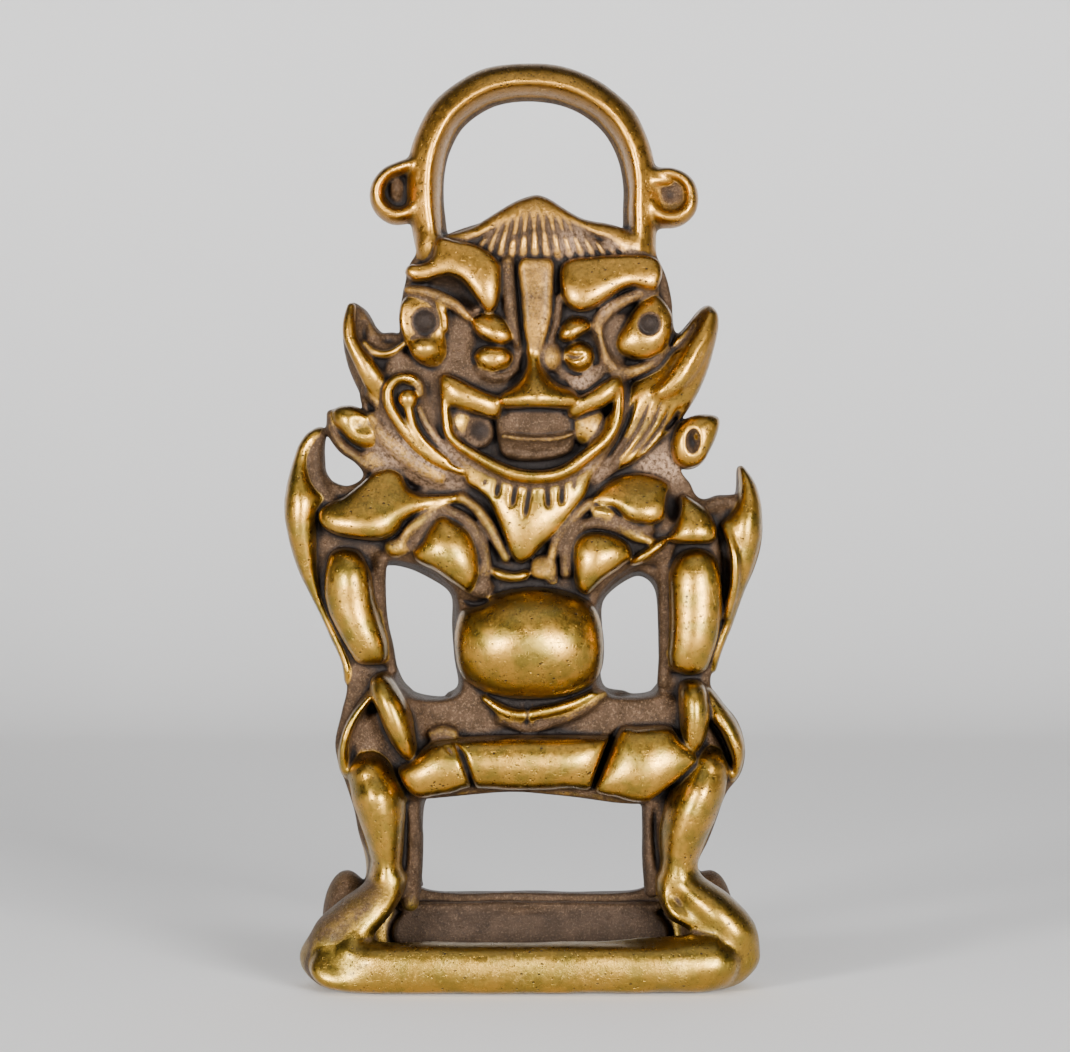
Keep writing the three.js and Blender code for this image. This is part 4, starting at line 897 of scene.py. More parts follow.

# %% [markdown]
# ## Mouth
#
# Two raised bars run from the cheeks to the nose, and a thin lip bends round below
# them. The hollow between is rough and dark, partly from black painted shade, with a
# knob in each corner and a deep pit at the left that is painted black as shade.

# %% Mouth
hollow(traced([(449, 400), (465, 410), (480, 415), (500, 412), (537, 410), (573, 412), (590, 411),
               (606, 404), (616, 398), (615, 424), (606, 439), (584, 456), (566, 468), (537, 474),
               (508, 470), (486, 459), (462, 447), (450, 436), (448, 416)]), 1.3)
pad(traced([(500, 411), (537, 409), (573, 411), (575, 436), (570, 452), (540, 461), (506, 457),
            (499, 440)]), 1.9, 2.9, root=-1.0, full=0.35, lean=-0.15, edge=0.3, shine=0.2)
strip([(503, 438, 2.9), (520, 440, 3.0), (540, 441, 3.0), (560, 440, 3.0), (573, 436, 2.9)],
      [0.16, 0.2, 0.2, 0.2, 0.16], 0.35, fillet=0.4, shine=0.16)
score(traced([(502, 433), (537, 436), (572, 432)]), 0.22, 0.2)
score(traced([(503, 449), (537, 454), (568, 449)]), 0.25, 0.2)
pad(traced([(442, 378), (454, 379.5), (470, 388), (486, 395), (500, 401), (498, 419), (480, 417),
            (465, 411), (452, 407), (445, 398)]), 3.0, 4.5, full=0.32, edge=0.3)
pad(traced([(570, 412), (575, 403), (591, 394), (607, 383), (616, 379), (622, 382), (619, 394),
            (606, 407), (590, 413), (576, 419), (570, 418)]), 3.0, 4.5, full=0.32, edge=0.3)
strip([(445, 381, 3.2), (445, 400, 3.3), (446, 420, 3.3), (449, 436, 3.4), (459, 447, 3.5),
       (473, 456, 3.6), (487, 464, 3.7), (501, 471, 3.8), (518, 477, 3.9), (537, 479, 4.0),
       (555, 477, 3.9), (571, 470, 3.8), (584, 460, 3.7), (597, 450, 3.5), (608, 440, 3.4),
       (616, 426, 3.3), (619, 410, 3.2), (620, 390, 3.2)], [0.3, 0.3, 0.3, 0.34, 0.36, 0.38, 0.42, 0.44,
                                                            0.46, 0.48, 0.46, 0.45, 0.45, 0.44, 0.42, 0.4,
                                                            0.38, 0.34], 0.7)
strip([(449, 450, 2.5), (464, 462, 2.7), (484, 473, 2.8), (508, 482, 2.9), (537, 488, 3.0),
       (566, 483, 2.9), (588, 471, 2.8), (604, 456, 2.6), (616, 440, 2.5)],
      [0.4, 0.5, 0.5, 0.5, 0.5, 0.5, 0.5, 0.5, 0.4], 0.5, fillet=0.6, shine=0.42)
pad(traced([(450, 412), (466, 412), (482, 417), (492, 427), (491, 441), (480, 449), (465, 445),
            (453, 436)]), 1.9, 2.9, root=-1.0, full=0.4, edge=0.35, shine=0.2)
ball(spot(459, 424, 2.5), (0.75, 0.95, 0.75), fillet=0.6, shine=0.72)
# The pit's below-zero polish paints it black as shade.
scoop(spot(482, 433, 3.1), (0.85, 0.85, 0.9), fillet=0.6, shine=-0.1)
pad(traced([(575, 415), (590, 412), (602, 413), (605, 428), (601, 440), (589, 446), (578, 441),
            (574, 428)]), 2.1, 3.3, root=-1.0, full=0.42, edge=0.35, shine=0.62)
strip([(596, 447, 3.0), (607, 436, 3.1), (612, 420, 3.1)], [0.35, 0.35, 0.3], 0.5, fillet=0.3, shine=0.7)
weigh("mouth")

# %% [markdown]
# ## Cheeks
#
# Flames rise from both cheeks. The left one is a plain horn over a scroll that curls
# round a knob, and the right one is combed with long strokes. A small leaf tip with a
# hollow bowl hangs below each.

# %% Left horn
pad(traced([(350.5, 303), (344, 311), (341.5, 325), (341, 342), (344, 358), (349, 374), (357, 391),
            (364, 402), (378, 410), (394, 404), (402, 388), (400, 368), (404, 350), (400, 338),
            (391, 333), (380, 334), (373, 328), (367, 318), (360, 308)]), 0.3, 1.5, root=-2.6, full=0.4,
    edge=0.4, shine=0.3)
roll(traced([(350.5, 309, 1.3), (348.5, 322, 1.9), (349.5, 339, 2.2), (356, 354, 2.4), (365, 368, 2.5),
             (373, 382, 2.5), (380, 397, 2.1)]), [0.32, 0.44, 0.48, 0.52, 0.66, 0.75, 0.4],
     [0.6, 0.7, 0.7, 0.7, 0.7, 0.6, 0.5], root=0.0, fillet=0.5)
score(traced([(362, 322), (363, 338), (371, 354)]), 0.3, 0.45)
roll(traced([(364, 344, 1.7), (372, 353, 1.9), (382, 356, 2.0), (392, 354, 2.0), (402, 347, 1.9)]),
     [0.18, 0.24, 0.26, 0.24, 0.2], [0.5] * 5, root=0.0, fillet=0.35, shine=0.5)
scoop(spot(388, 341, 1.8), (0.7, 0.4, 1.1), fillet=0.25)
roll(traced([(370, 396, 1.6), (383, 414, 1.8), (392, 430, 1.8)]), [0.4, 0.45, 0.35], [0.6] * 3, root=0.0,
     fillet=0.5, shine=0.35)
score(traced([(364, 402), (376, 418), (388, 434)]), 0.25, 0.35)
weigh("left horn")

# %% Combed flame on the right
right_flame = traced([
    (711, 306), (718, 312), (720.5, 325), (718, 341), (713, 361), (705, 383), (697, 399), (688, 413),
    (676, 426), (664, 440), (651, 452), (637, 463), (622, 471), (606, 475), (598, 469), (603, 455),
    (613, 438), (621, 420), (625, 400), (632, 384), (648, 373), (664, 361), (673, 348), (677, 338),
    (684, 333), (695, 321), (703, 311)])
pad(right_flame, 1.0, 2.9, root=-2.6, full=0.4, edge=0.45, shine=0.88)
roll(traced([(712, 318, 1.9), (706, 335, 2.4), (697, 353, 2.8), (686, 371, 3.0), (675, 385, 3.0),
             (663, 394, 2.9)]), [0.35, 0.55, 0.65, 0.7, 0.65, 0.4], [0.6] * 6, root=0.0, fillet=0.7)
score(traced([(700, 318), (688, 339), (672, 356)]), 0.2, 0.4)
score(traced([(707, 345), (700, 361), (690, 379)]), 0.14, 0.22)
scores([[(637, 400), (628, 425), (616, 448), (602, 467)], [(652, 400), (643, 423), (630, 446),
                                                           (614, 465)], [(663, 403), (655, 424),
                                                                         (642, 444), (625, 463)],
        [(673, 406), (666, 422), (651, 443), (635, 460)], [(682, 408), (675, 421), (663, 436)]], 0.2, 0.5)
scores([[(645, 404), (636, 424), (623, 448), (611, 462)], [(658, 404), (649, 424), (636, 446)],
        [(690, 404), (683, 414), (672, 428)]], 0.13, 0.16)
weigh("combed flame on the right")

# %% Scroll
plate(traced([(388, 386), (403, 378), (418, 384), (426, 402), (440, 440), (464, 462), (464, 478),
              (430, 466), (404, 446), (388, 418)]), -1.0, 2.6, edge=0.6, fillet=0.5, shine=0.2)
roll(traced([(420, 396, 2.7), (418, 387, 2.8), (410, 381, 2.8)]), [0.25, 0.32, 0.38], [0.5] * 3, root=0.0,
     fillet=0.3, shine=0.35)
roll(traced([(412, 381.5, 2.8), (404, 379.5, 2.9), (395, 382, 2.9), (388, 391, 2.9), (388, 404, 2.9),
             (395, 419, 2.9), (408, 437, 2.8), (423, 453, 2.8), (442, 465, 2.7), (461, 474, 2.6)]),
     [0.3, 0.38, 0.4, 0.4, 0.4, 0.38, 0.38, 0.36, 0.32, 0.2], [0.6] * 10, root=0.0, fillet=0.25)
roll(traced([(408, 410, 3.0), (412, 426, 2.9), (420, 440, 2.9), (432, 452, 2.8), (447, 463, 2.7)]),
     [0.34, 0.3, 0.3, 0.3, 0.2], [0.6] * 5, root=0.0, fillet=0.25)
ball(spot(407.5, 401, 3.1), (0.68, 0.68, 0.65), fillet=0.15)
roll(traced([(419, 410, 2.5), (426, 425, 2.6), (436, 440, 2.6), (449, 452, 2.5), (463, 462, 2.4)]),
     [0.2, 0.26, 0.28, 0.28, 0.2], [0.5] * 5, root=0.0, fillet=0.25, shine=0.3)
roll(traced([(372, 420, 1.8), (382, 436, 2.1), (398, 452, 2.3), (418, 468, 2.3), (440, 480, 2.2)]),
     [0.4, 0.5, 0.6, 0.55, 0.4], [0.7] * 5, root=0.0, fillet=0.6, shine=0.4)
weigh("scroll")

# %% Leaf tips
pad(traced([(332, 411), (340, 408), (351, 408), (362, 414), (373, 424), (379, 434), (379, 446),
            (367, 449.5), (354, 446), (341, 435), (332, 423)]), 1.0, 2.7, root=-2.2, full=0.36, edge=0.35)
scoop(spot(361, 427, 3.5), (0.95, 0.8, 1.25), fillet=0.5, shine=0.75)
roll(traced([(330, 416, 0.2), (333, 434, 0.4), (344, 450, 0.6), (357, 459, 0.6), (366, 468, 0.5)]),
     [0.3, 0.42, 0.45, 0.45, 0.45], [1.2, 1.4, 1.5, 1.5, 1.5], fillet=0.3, shine=0.2)
pad(traced([(362, 452), (376, 448), (392, 450), (412, 462), (430, 476), (418, 484), (395, 473),
            (376, 476), (364, 468)]), 1.2, 2.1, root=-2.0, full=0.4, edge=0.4, fillet=0.4, shine=0.45)
pad(traced([(696, 418), (711, 417), (721, 420), (719.5, 433), (713, 449), (703, 465), (690, 469),
            (678, 464), (674, 452), (676, 437), (683, 425)]), 1.0, 2.8, root=-2.2, full=0.36, edge=0.3)
scoop(spot(695, 443, 3.6), (0.6, 1.05, 1.8), fillet=0.15, shine=0.1)
ball(spot(698, 437, 1.9), (0.28, 0.45, 0.5), shine=0.7)
weigh("leaf tips")

# %% [markdown]
# ## The hanging loop
#
# The loop is a ridged band. Its crest runs nearer the hole than the outer edge, and an
# inner band further back frames the hole. A curl grows out of each foot: an open one
# with a boss at the left, a full one with a shallow pit at the right.

# %% Hanging loop
LOOP_CENTRE = np.array([0.7, 54.6])
loop_middle = np.array([(-6.55, 49.9), (-6.75, 51.6), (-7.0, 53.8), (-6.9, 56.1), (-6.35, 58.1),
                        (-5.2, 60.0), (-2.75, 61.65), (0.1, 62.15), (2.85, 61.85), (5.15, 60.8),
                        (6.8, 59.3), (7.85, 57.3), (8.3, 55.0), (8.3, 52.9), (8.35, 50.2)])


def nearer_centre(share, front):
    moved = loop_middle + share * (LOOP_CENTRE - loop_middle)
    return [(x, z, front) for x, z in moved]


roll(nearer_centre(0.0, 0.0), [0.8, 0.95, 1.15, 1.15, 1.1, 1.1, 1.08, 1.05, 1.05, 1.05, 1.0, 0.95, 0.9,
                               0.85, 0.8], [2.0] * 15, fillet=0.3)
roll(nearer_centre(0.055, 0.9), [0.5] * 2, [1.45] * 2, fillet=0.6)
roll(nearer_centre(0.11, -1.0), [0.6] * 2, [1.3] * 2, fillet=0.3, shine=0.3)
ball((-6.5, 50.6, 1.4), (0.75, 0.9, 0.9), fillet=0.6)
weigh("hanging loop")

# %% Curls beside the loop
roll([(-7.2, 56.3, 0.2), (-8.4, 55.95, 0.3), (-9.4, 55.5, 0.3), (-10.0, 54.7, 0.3), (-10.05, 53.8, 0.3),
      (-9.6, 53.1, 0.3), (-8.9, 52.7, 0.3), (-8.1, 52.8, 0.3), (-7.4, 53.3, 0.3)],
     [0.6, 0.55, 0.52, 0.52, 0.55, 0.6, 0.62, 0.6, 0.6], [1.4, 1.6, 1.7, 1.7, 1.7, 1.7, 1.7, 1.6, 1.5],
     fillet=0.3)
ball((-8.6, 54.4, -0.6), (1.2, 1.5, 1.2), shine=0.0)
ball((-8.75, 54.6, 0.4), (0.5, 0.8, 0.8), shine=0.12)
ball((9.9, 53.9, -0.3), (2.0, 1.95, 1.9), fillet=0.8, shine=0.75)
roll([(8.9, 55.5, 0.3), (10.2, 55.5, 0.5), (11.2, 54.9, 0.6), (11.5, 54.0, 0.7), (11.3, 53.1, 0.8),
      (10.5, 52.5, 0.8), (9.5, 52.6, 0.7), (8.6, 53.4, 0.5)], [0.4, 0.45, 0.5, 0.55, 0.6, 0.6, 0.55, 0.5],
     [1.4, 1.4, 1.4, 1.4, 1.4, 1.4, 1.4, 1.3], fillet=0.5)
scoop((10.1, 54.1, 2.1), (0.75, 0.8, 1.1), fillet=0.5, shine=0.3)
roll([(8.4, 54.9, 1.2), (9.2, 55.0, 1.4), (9.9, 55.0, 1.2)], [0.3, 0.25, 0.2], [0.5, 0.5, 0.4],
     fillet=0.4, shine=0.8)
weigh("curls beside the loop")

# %% [markdown]
# ## The back
#
# The photograph doesn't show the back. Amulets like this one have a plainer, rounded
# back that was modelled with the same tools: a dome of combed hair, a groove down the
# spine, the belt, and round limbs.

# %% Back of the figure
ball((0.9, 43.6, -2.4), (8.0, 7.6, 2.6), fillet=1.2, shine=0.9)
ball((0.3, 31.0, -2.4), (9.4, 3.8, 2.1), fillet=1.2, shine=0.85)
ball((0.3, 24.2, -2.4), (4.9, 5.6, 2.1), fillet=1.0, shine=0.85)
ball((-3.2, 16.5, -2.4), (5.4, 3.0, 2.3), fillet=1.0, shine=0.9)
ball((4.8, 16.5, -2.4), (5.6, 3.0, 2.3), fillet=1.0, shine=0.9)
roll([(-12.4, 30, -1.6), (-12.0, 26, -1.8), (-10.9, 22.4, -1.8), (-9.9, 18.6, -1.6), (-9.6, 15.5, -1.8)],
     [1.5, 1.5, 1.3, 1.3, 1.6], [1.6, 1.9, 1.7, 1.6, 1.6], fillet=0.8)
roll([(12.6, 30, -1.6), (12.3, 26, -1.8), (11.5, 22.4, -1.8), (11.4, 18.6, -1.6), (11.8, 15.5, -1.8)],
     [1.5, 1.6, 1.3, 1.3, 1.6], [1.6, 1.9, 1.7, 1.6, 1.6], fillet=0.8)
roll([(-9.9, 14.6, -1.4), (-9.8, 10.5, -1.6), (-9.6, 7.2, -1.8)], [1.6, 1.5, 1.2], [1.9, 1.9, 1.9],
     fillet=0.8)
roll([(12.0, 14.6, -1.4), (11.0, 10.5, -1.6), (10.5, 7.2, -1.8)], [1.6, 1.6, 1.3], [1.9, 1.9, 1.9],
     fillet=0.8)
worn_back = 0.75 * np.clip((lines[1] - 1.7) / 0.6, 0, 1)[None, :, None]
polish = np.where(worn_back > 0, np.maximum(polish, worn_back), polish).astype(np.float32)
for i in range(-6, 7):
    top = (0.9 + 0.62 * i, 50.2 - 0.09 * i * i)
    foot = (0.9 + 0.8 * i, 38.6 + 0.06 * i * i)
    score([top, (0.9 + 1.0 * i, 44.8), foot], 0.24, 0.22, facing=-1)
score([(0.4, 33.6), (0.4, 28), (0.4, 20.5)], 0.5, 0.4, facing=-1)
score([(-8, 20.0), (-3, 19.2), (0.5, 19.0), (4, 19.2), (9, 20.0)], 0.4, 0.4, facing=-1)
score([(-8, 36.2), (-3, 35.4), (0.9, 35.2), (5, 35.4), (9, 36.2)], 0.45, 0.4, facing=-1)
weigh("back of the figure")

# %% [markdown]
# ## The walls of the openings
#
# No finger gets inside the narrow openings, so their walls stay unpolished, and with
# no polish they are painted black as shade, which makes them the darkest part. The
# limbs laid along them brought their polish with them, and here it is taken back.

# %% Dull the walls
def dull_and_shade_wall(outline, reach=0.9, up_to=1.8):
    """Takes the polish off around an outline, from the back up to a front distance."""
    loop = curve_through(outline, closed=True)
    low, high = loop.min(0) - 1.5, loop.max(0) + 1.5
    place, x, y, z = window((low[0], -up_to - 0.6, low[1]), (high[0], 5, high[1]))
    side = edge_distance(loop, x, z)[:, None, :]
    lit = np.clip((np.abs(side) - 0.2) / reach, 0, 1)
    behind = np.clip((up_to + y) / 0.6, 0, 1)[None, :, None]
    polish[place] *= 1 - behind * (1 - lit)


for outline in (left_arm_opening, right_arm_opening, leg_opening):
    dull_and_shade_wall(outline)
print("share of polished cubes:", round(float((polish > 0.5).mean()), 3))

# %% [markdown]
# ## Signs of the hand
#
# Nothing cast from wax is quite even. A few slow waves shift the surface by a few
# hundredths of a millimetre, and then a light smoothing takes the sharpness off, as
# the casting and years of handling have done.

# %% Unevenness and softening
WAVE_HEIGHT = 0.02
seeded = np.random.default_rng(7)
for _ in range(7):
    turns = seeded.uniform(0.5, 1.7, 3) * seeded.choice([-1, 1], 3)
    shift = seeded.uniform(0, 6.3)
    wave = [lines[axis] * turns[axis] for axis in range(3)]
    across = np.sin(wave[0][:, None] + wave[2][None, :] + shift).astype(np.float32)
    deep = np.cos(wave[1]).astype(np.float32)
    wax += WAVE_HEIGHT / 2 * across[:, None, :] * deep[None, :, None]


def soften(block, axis):
    """Each cube becomes a mean of itself and its two neighbours along one axis."""
    ahead = np.roll(block, 1, axis)
    behind = np.roll(block, -1, axis)
    return 0.25 * ahead + 0.5 * block + 0.25 * behind


for axis in range(3):
    wax = soften(wax, axis)
    polish = soften(polish, axis)
weigh("unevenness and softening")

# %% [markdown]
# ## From the block to a mesh
#
# The surface lies where the distance is zero. A voxel mesher finds it and lays quads
# on it. Small loose crumbs are dropped, and flat areas are thinned to fewer faces,
# since a mesh that others will load must not be heavier than it needs to be.

# %% Skin the block
grid = openvdb.FloatGrid(3.0)
grid.copyFromArray(np.clip(wax, -3 * CUBE, 3 * CUBE) / CUBE)
points, quads = grid.convertToQuads(0.0)
print("points and quads:", len(points), len(quads))

mesh = bpy.data.meshes.new("guardian_casting")
mesh.vertices.add(len(points))
mesh.vertices.foreach_set("co", (np.asarray(points) * CUBE + BLOCK_LOW).astype(np.float32).ravel())
mesh.loops.add(4 * len(quads))
mesh.loops.foreach_set("vertex_index", np.asarray(quads).astype(np.int32).ravel())
mesh.polygons.add(len(quads))
mesh.polygons.foreach_set("loop_start", 4 * np.arange(len(quads), dtype=np.int32))
mesh.update(calc_edges=True)
casting = bpy.data.objects.new("guardian_casting", mesh)
bpy.context.collection.objects.link(casting)

# %% Keep only the largest body
shell = bmesh.new()
shell.from_mesh(mesh)
unseen = set(shell.verts)
bodies = []
while unseen:
    front_line = [unseen.pop()]
    body = list(front_line)
    while front_line:
        reached = []
        for vertex in front_line:
            for edge in vertex.link_edges:
                other = edge.other_vert(vertex)
                if other in unseen:
                    unseen.remove(other)
                    reached.append(other)
        body += reached
        front_line = reached
    bodies.append(body)
bodies.sort(key=len, reverse=True)
crumbs = [vertex for body in bodies[1:] for vertex in body]
bmesh.ops.delete(shell, geom=crumbs, context="VERTS")
print("bodies found:", len(bodies), "crumb points dropped:", len(crumbs))
# A volume above zero says that the faces point out of the metal.
print("volume, cm3:", round(shell.calc_volume(signed=True) / 1000, 2))
shell.to_mesh(mesh)
shell.free()

# %% Thin the mesh
MOST_TRIANGLES = 190_000
triangles_now = 2 * len(mesh.polygons)
bpy.context.view_layer.objects.active = casting
if triangles_now > MOST_TRIANGLES:
    thin = casting.modifiers.new("thin", "DECIMATE")
    thin.ratio = MOST_TRIANGLES / triangles_now
    bpy.ops.object.modifier_apply(modifier=thin.name)
    mesh = casting.data
mesh.polygons.foreach_set("use_smooth", np.ones(len(mesh.polygons), bool))
print("faces kept:", len(mesh.polygons))

# %% [markdown]
# ## Where hands have worn the metal
#
# Colour follows form here. To know which places stand proud and which lie deep, the
# block of metal is blurred: on a flat face half of the neighbourhood is metal, in a
# crease more, on a crest less. Each point of the mesh keeps its reading at a close
# range and at a wide one, and how polished its own form is.

# %% Read the block at the points of the mesh
found = np.empty(3 * len(mesh.vertices), np.float32)
mesh.vertices.foreach_get("co", found)
found = found.reshape(-1, 3)


def running_mean(block, axis, reach):
    """The mean over a window of cubes along one axis."""
    widths = [(0, 0)] * 3
    widths[axis] = (reach + 1, reach)
    total = np.cumsum(np.pad(block, widths, mode="edge"), axis, dtype=np.float64)
    size = block.shape[axis]
    ahead = np.take(total, range(2 * reach + 1, 2 * reach + 1 + size), axis)
    behind = np.take(total, range(size), axis)
    return ((ahead - behind) / (2 * reach + 1)).astype(np.float32)


def blurred(block, radius):
    reach = max(int(round(radius / CUBE)), 1)
    for _ in range(2):
        for axis in range(3):
            block = running_mean(block, axis, reach)
    return block


def read_at(block):
    """Reads a block at each point of the mesh, between its cubes."""
    where = (found - BLOCK_LOW) / CUBE
    cell = np.clip(np.floor(where).astype(int), 0, np.array(block.shape) - 2)
    part = where - cell
    value = np.zeros(len(found))
    for corner in range(8):
        step = np.array([corner & 1, corner >> 1 & 1, corner >> 2 & 1])
        weight = np.prod(np.where(step, part, 1 - part), axis=1)
        a, b, c = (cell + step).T
        value += weight * block[a, b, c]
    return value.astype(np.float32)


def keep(name, values):
    attribute = mesh.attributes.new(name, "FLOAT", "POINT")
    attribute.data.foreach_set("value", np.ascontiguousarray(values, np.float32))


metal = np.clip(0.5 - wax / CUBE, 0, 1).astype(np.float32)
keep("polish", read_at(polish))
keep("crease", 2 * read_at(blurred(metal, 0.28)) - 1)
keep("shelter", 2 * read_at(blurred(metal, 1.1)) - 1)
print("polished share:", round(float((read_at(polish) > 0.5).mean()), 2))

# %% Places rubbed pale
# Each is [x, z, radius] in mm, on the front: beside the beard, under the eye and the
# right leaf, along the foot of the hair and on the left cheek.
rubbed_places = [
    (-6.0, 36.0, 2.2), (-8.6, 36.6, 1.6), (8.6, 35.2, 1.5), (10.0, 35.6, 1.3), (3.9, 41.4, 0.9),
    (3.2, 50.4, 1.2), (6.6, 50.6, 0.9), (4.9, 35.0, 1.0), (5.4, 46.6, 0.9), (-3.1, 46.2, 0.8)]
rubbed = np.zeros(len(found))
for place_x, place_z, radius in rubbed_places:
    gap = (found[:, 0] - place_x) ** 2 + (found[:, 2] - place_z) ** 2
    rubbed = np.maximum(rubbed, np.exp(-gap / radius ** 2))
keep("rubbed", rubbed * (found[:, 1] < 0))
print("places rubbed pale:", len(rubbed_places))

# %% [markdown]
# ## Into the frame of the model
#
# The mesh is scaled from millimetres to metres and fitted to the box of the packed
# model, so both stand on the same spot and no part of this one reaches outside it.

# %% Fit the casting to its box
low = found.min(0)
high = found.max(0)
stretch = (node_high - node_low) / (high - low)
print("stretch of each axis, mm per mm:", np.round(stretch * 1000, 4))
fitted = node_low + (found - low) * stretch
mesh.vertices.foreach_set("co", fitted.astype(np.float32).ravel())
keep("height_mm", fitted[:, 2] / MM)
mesh.update()
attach(casting, "root")
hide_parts(node)

# %% [markdown]
# ## The brass
#
# Two surfaces make up the look. Polished brass is olive gold, with a darker film left in
# its pores, fine pits and hair-thin scratches. The patina of the grounds is a dry,
# purple-brown crust with pale dust in it, through which a little of the metal still
# gleams. A mask made of the polish, the crease and a patchy noise mixes the two.
#
# Each helper below adds one kind of node and hands back its output, so the material
# reads from top to bottom like a recipe.

# %% Tools for a node material
brass = bpy.data.materials.new("aged_brass")
brass.use_nodes = True
tree = brass.node_tree
tree.nodes.clear()


def add_node(kind, **settings):
    made = tree.nodes.new(kind)
    for name, value in settings.items():
        setattr(made, name, value)
    return made


def feed(made, socket, value):
    if isinstance(value, bpy.types.NodeSocket):
        tree.links.new(value, made.inputs[socket])
    else:
        made.inputs[socket].default_value = value


def reading(name):
    return add_node("ShaderNodeAttribute", attribute_name=name).outputs["Fac"]


def work_out(operation, a, b=0.0, c=0.0):
    made = add_node("ShaderNodeMath", operation=operation)
    feed(made, 0, a)
    feed(made, 1, b)
    feed(made, 2, c)
    return made.outputs[0]


def ramp(value, low, high, to_low=0.0, to_high=1.0):
    made = add_node("ShaderNodeMapRange", interpolation_type="SMOOTHSTEP")
    for socket, number in (("Value", value), ("From Min", low), ("From Max", high), ("To Min", to_low),
                           ("To Max", to_high)):
        feed(made, socket, number)
    return made.outputs["Result"]


def blend(share, a, b):
    made = add_node("ShaderNodeMix", data_type="RGBA")
    feed(made, 0, share)
    feed(made, 6, a)
    feed(made, 7, b)
    return made.outputs[2]


place_mm = add_node("ShaderNodeVectorMath", operation="SCALE")
feed(place_mm, 0, add_node("ShaderNodeTexCoord").outputs["Object"])
feed(place_mm, "Scale", 1000.0)


def stretched(x, y, z):
    made = add_node("ShaderNodeVectorMath", operation="MULTIPLY")
    feed(made, 0, place_mm.outputs[0])
    feed(made, 1, (x, y, z))
    return made.outputs[0]


def noise(scale, detail=4.0, rough=0.55, vector=None):
    made = add_node("ShaderNodeTexNoise")
    feed(made, "Vector", vector or place_mm.outputs[0])
    feed(made, "Scale", scale)
    feed(made, "Detail", detail)
    feed(made, "Roughness", rough)
    return made.outputs["Fac"]


def cells(scale, vector):
    made = add_node("ShaderNodeTexVoronoi")
    feed(made, "Vector", vector)
    feed(made, "Scale", scale)
    return made.outputs["Distance"]


# %% [markdown]
# The mask starts from the polish that each form brought with it. Crests gain some wear,
# creases and sheltered places lose a lot, and two noises, one broad and one fine, keep
# its edge from looking drawn.

# %% The worn mask
patches = noise(0.9, 5.0, 0.6)
fine_patches = noise(4.5, 5.0, 0.65)
polished = reading("polish")
crease = reading("crease")
shelter = reading("shelter")
on_crest = ramp(crease, -0.55, -0.05, 1.0, 0.0)
in_hollow = ramp(crease, 0.02, 0.42)
worn = work_out("MULTIPLY_ADD", on_crest, 0.2, polished)
worn = work_out("MULTIPLY_ADD", in_hollow, -0.8, worn)
worn = work_out("MULTIPLY_ADD", shelter, -0.2, worn)
worn = work_out("MULTIPLY_ADD", work_out("SUBTRACT", patches, 0.5), 0.45, worn)
worn = work_out("MULTIPLY_ADD", work_out("SUBTRACT", fine_patches, 0.5), 0.45, worn)
worn = ramp(worn, 0.28, 0.74)
print("nodes so far:", len(tree.nodes))

# %% Pits, specks and scratches
pit_shape = ramp(cells(1.7, stretched(1.0, 1.0, 1.5)), 0.1, 0.19, 1.0, 0.0)
pit_places = ramp(noise(0.55, 3.0), 0.46, 0.6)
pits = work_out("MULTIPLY", pit_shape, pit_places)
speck_shape = ramp(cells(3.6, stretched(1.0, 1.0, 0.7)), 0.12, 0.26, 1.0, 0.0)
specks = work_out("MULTIPLY", speck_shape, ramp(noise(1.1, 4.0), 0.44, 0.6))
scratch_lines = noise(3.0, 6.0, 0.7, stretched(0.35, 1.0, 4.0))
cross_lines = noise(3.0, 6.0, 0.7, stretched(3.5, 1.0, 0.5))
scratches = work_out("MAXIMUM", ramp(scratch_lines, 0.60, 0.68), ramp(cross_lines, 0.60, 0.68))
print("nodes so far:", len(tree.nodes))

# %% [markdown]
# Brass that is handled daily turns yellow, and where it is left alone it goes olive and
# then brown. The loop and the face are warmer, the bar of the foot plate is greener, and
# whatever faces up is darkened: painted shade for the dim room above it, with some dirt.

# %% Colours of the polished brass
SPECK_BROWN = (0.040, 0.024, 0.011, 1)
PIT_BLACK = (0.022, 0.013, 0.007, 1)
GOLD = (0.50, 0.262, 0.036, 1)
OLIVE = (0.25, 0.165, 0.024, 1)
DEEP_OLIVE = (0.085, 0.052, 0.012, 1)
WARM_GOLD = (0.48, 0.225, 0.036, 1)
gold = blend(ramp(noise(0.6, 5.0, 0.6), 0.36, 0.66), GOLD, OLIVE)
up_high = ramp(reading("height_mm"), 28.0, 56.0)
gold = blend(work_out("MULTIPLY", up_high, 0.75), gold, WARM_GOLD)
low_down = ramp(reading("height_mm"), 4.0, 9.0, 1.0, 0.0)
gold = blend(work_out("MULTIPLY", low_down, 0.55), gold, OLIVE)
film = ramp(work_out("MULTIPLY_ADD", crease, 1.2, fine_patches), 0.47, 0.78)
gold = blend(work_out("MULTIPLY", film, 0.8), gold, DEEP_OLIVE)
# Painted shade with some dirt: faces turned up are darkened, as the dim room above would shade them.
facing_up = add_node("ShaderNodeSeparateXYZ")
feed(facing_up, 0, add_node("ShaderNodeNewGeometry").outputs["Normal"])
grime_and_up_shade = work_out("MULTIPLY_ADD", fine_patches, 0.8, facing_up.outputs["Z"])
gold = blend(work_out("MULTIPLY", ramp(grime_and_up_shade, 0.5, 1.15), 0.75), gold, DEEP_OLIVE)
gold = blend(work_out("MULTIPLY", specks, 0.75), gold, SPECK_BROWN)
gold = blend(pits, gold, PIT_BLACK)
print("nodes so far:", len(tree.nodes))
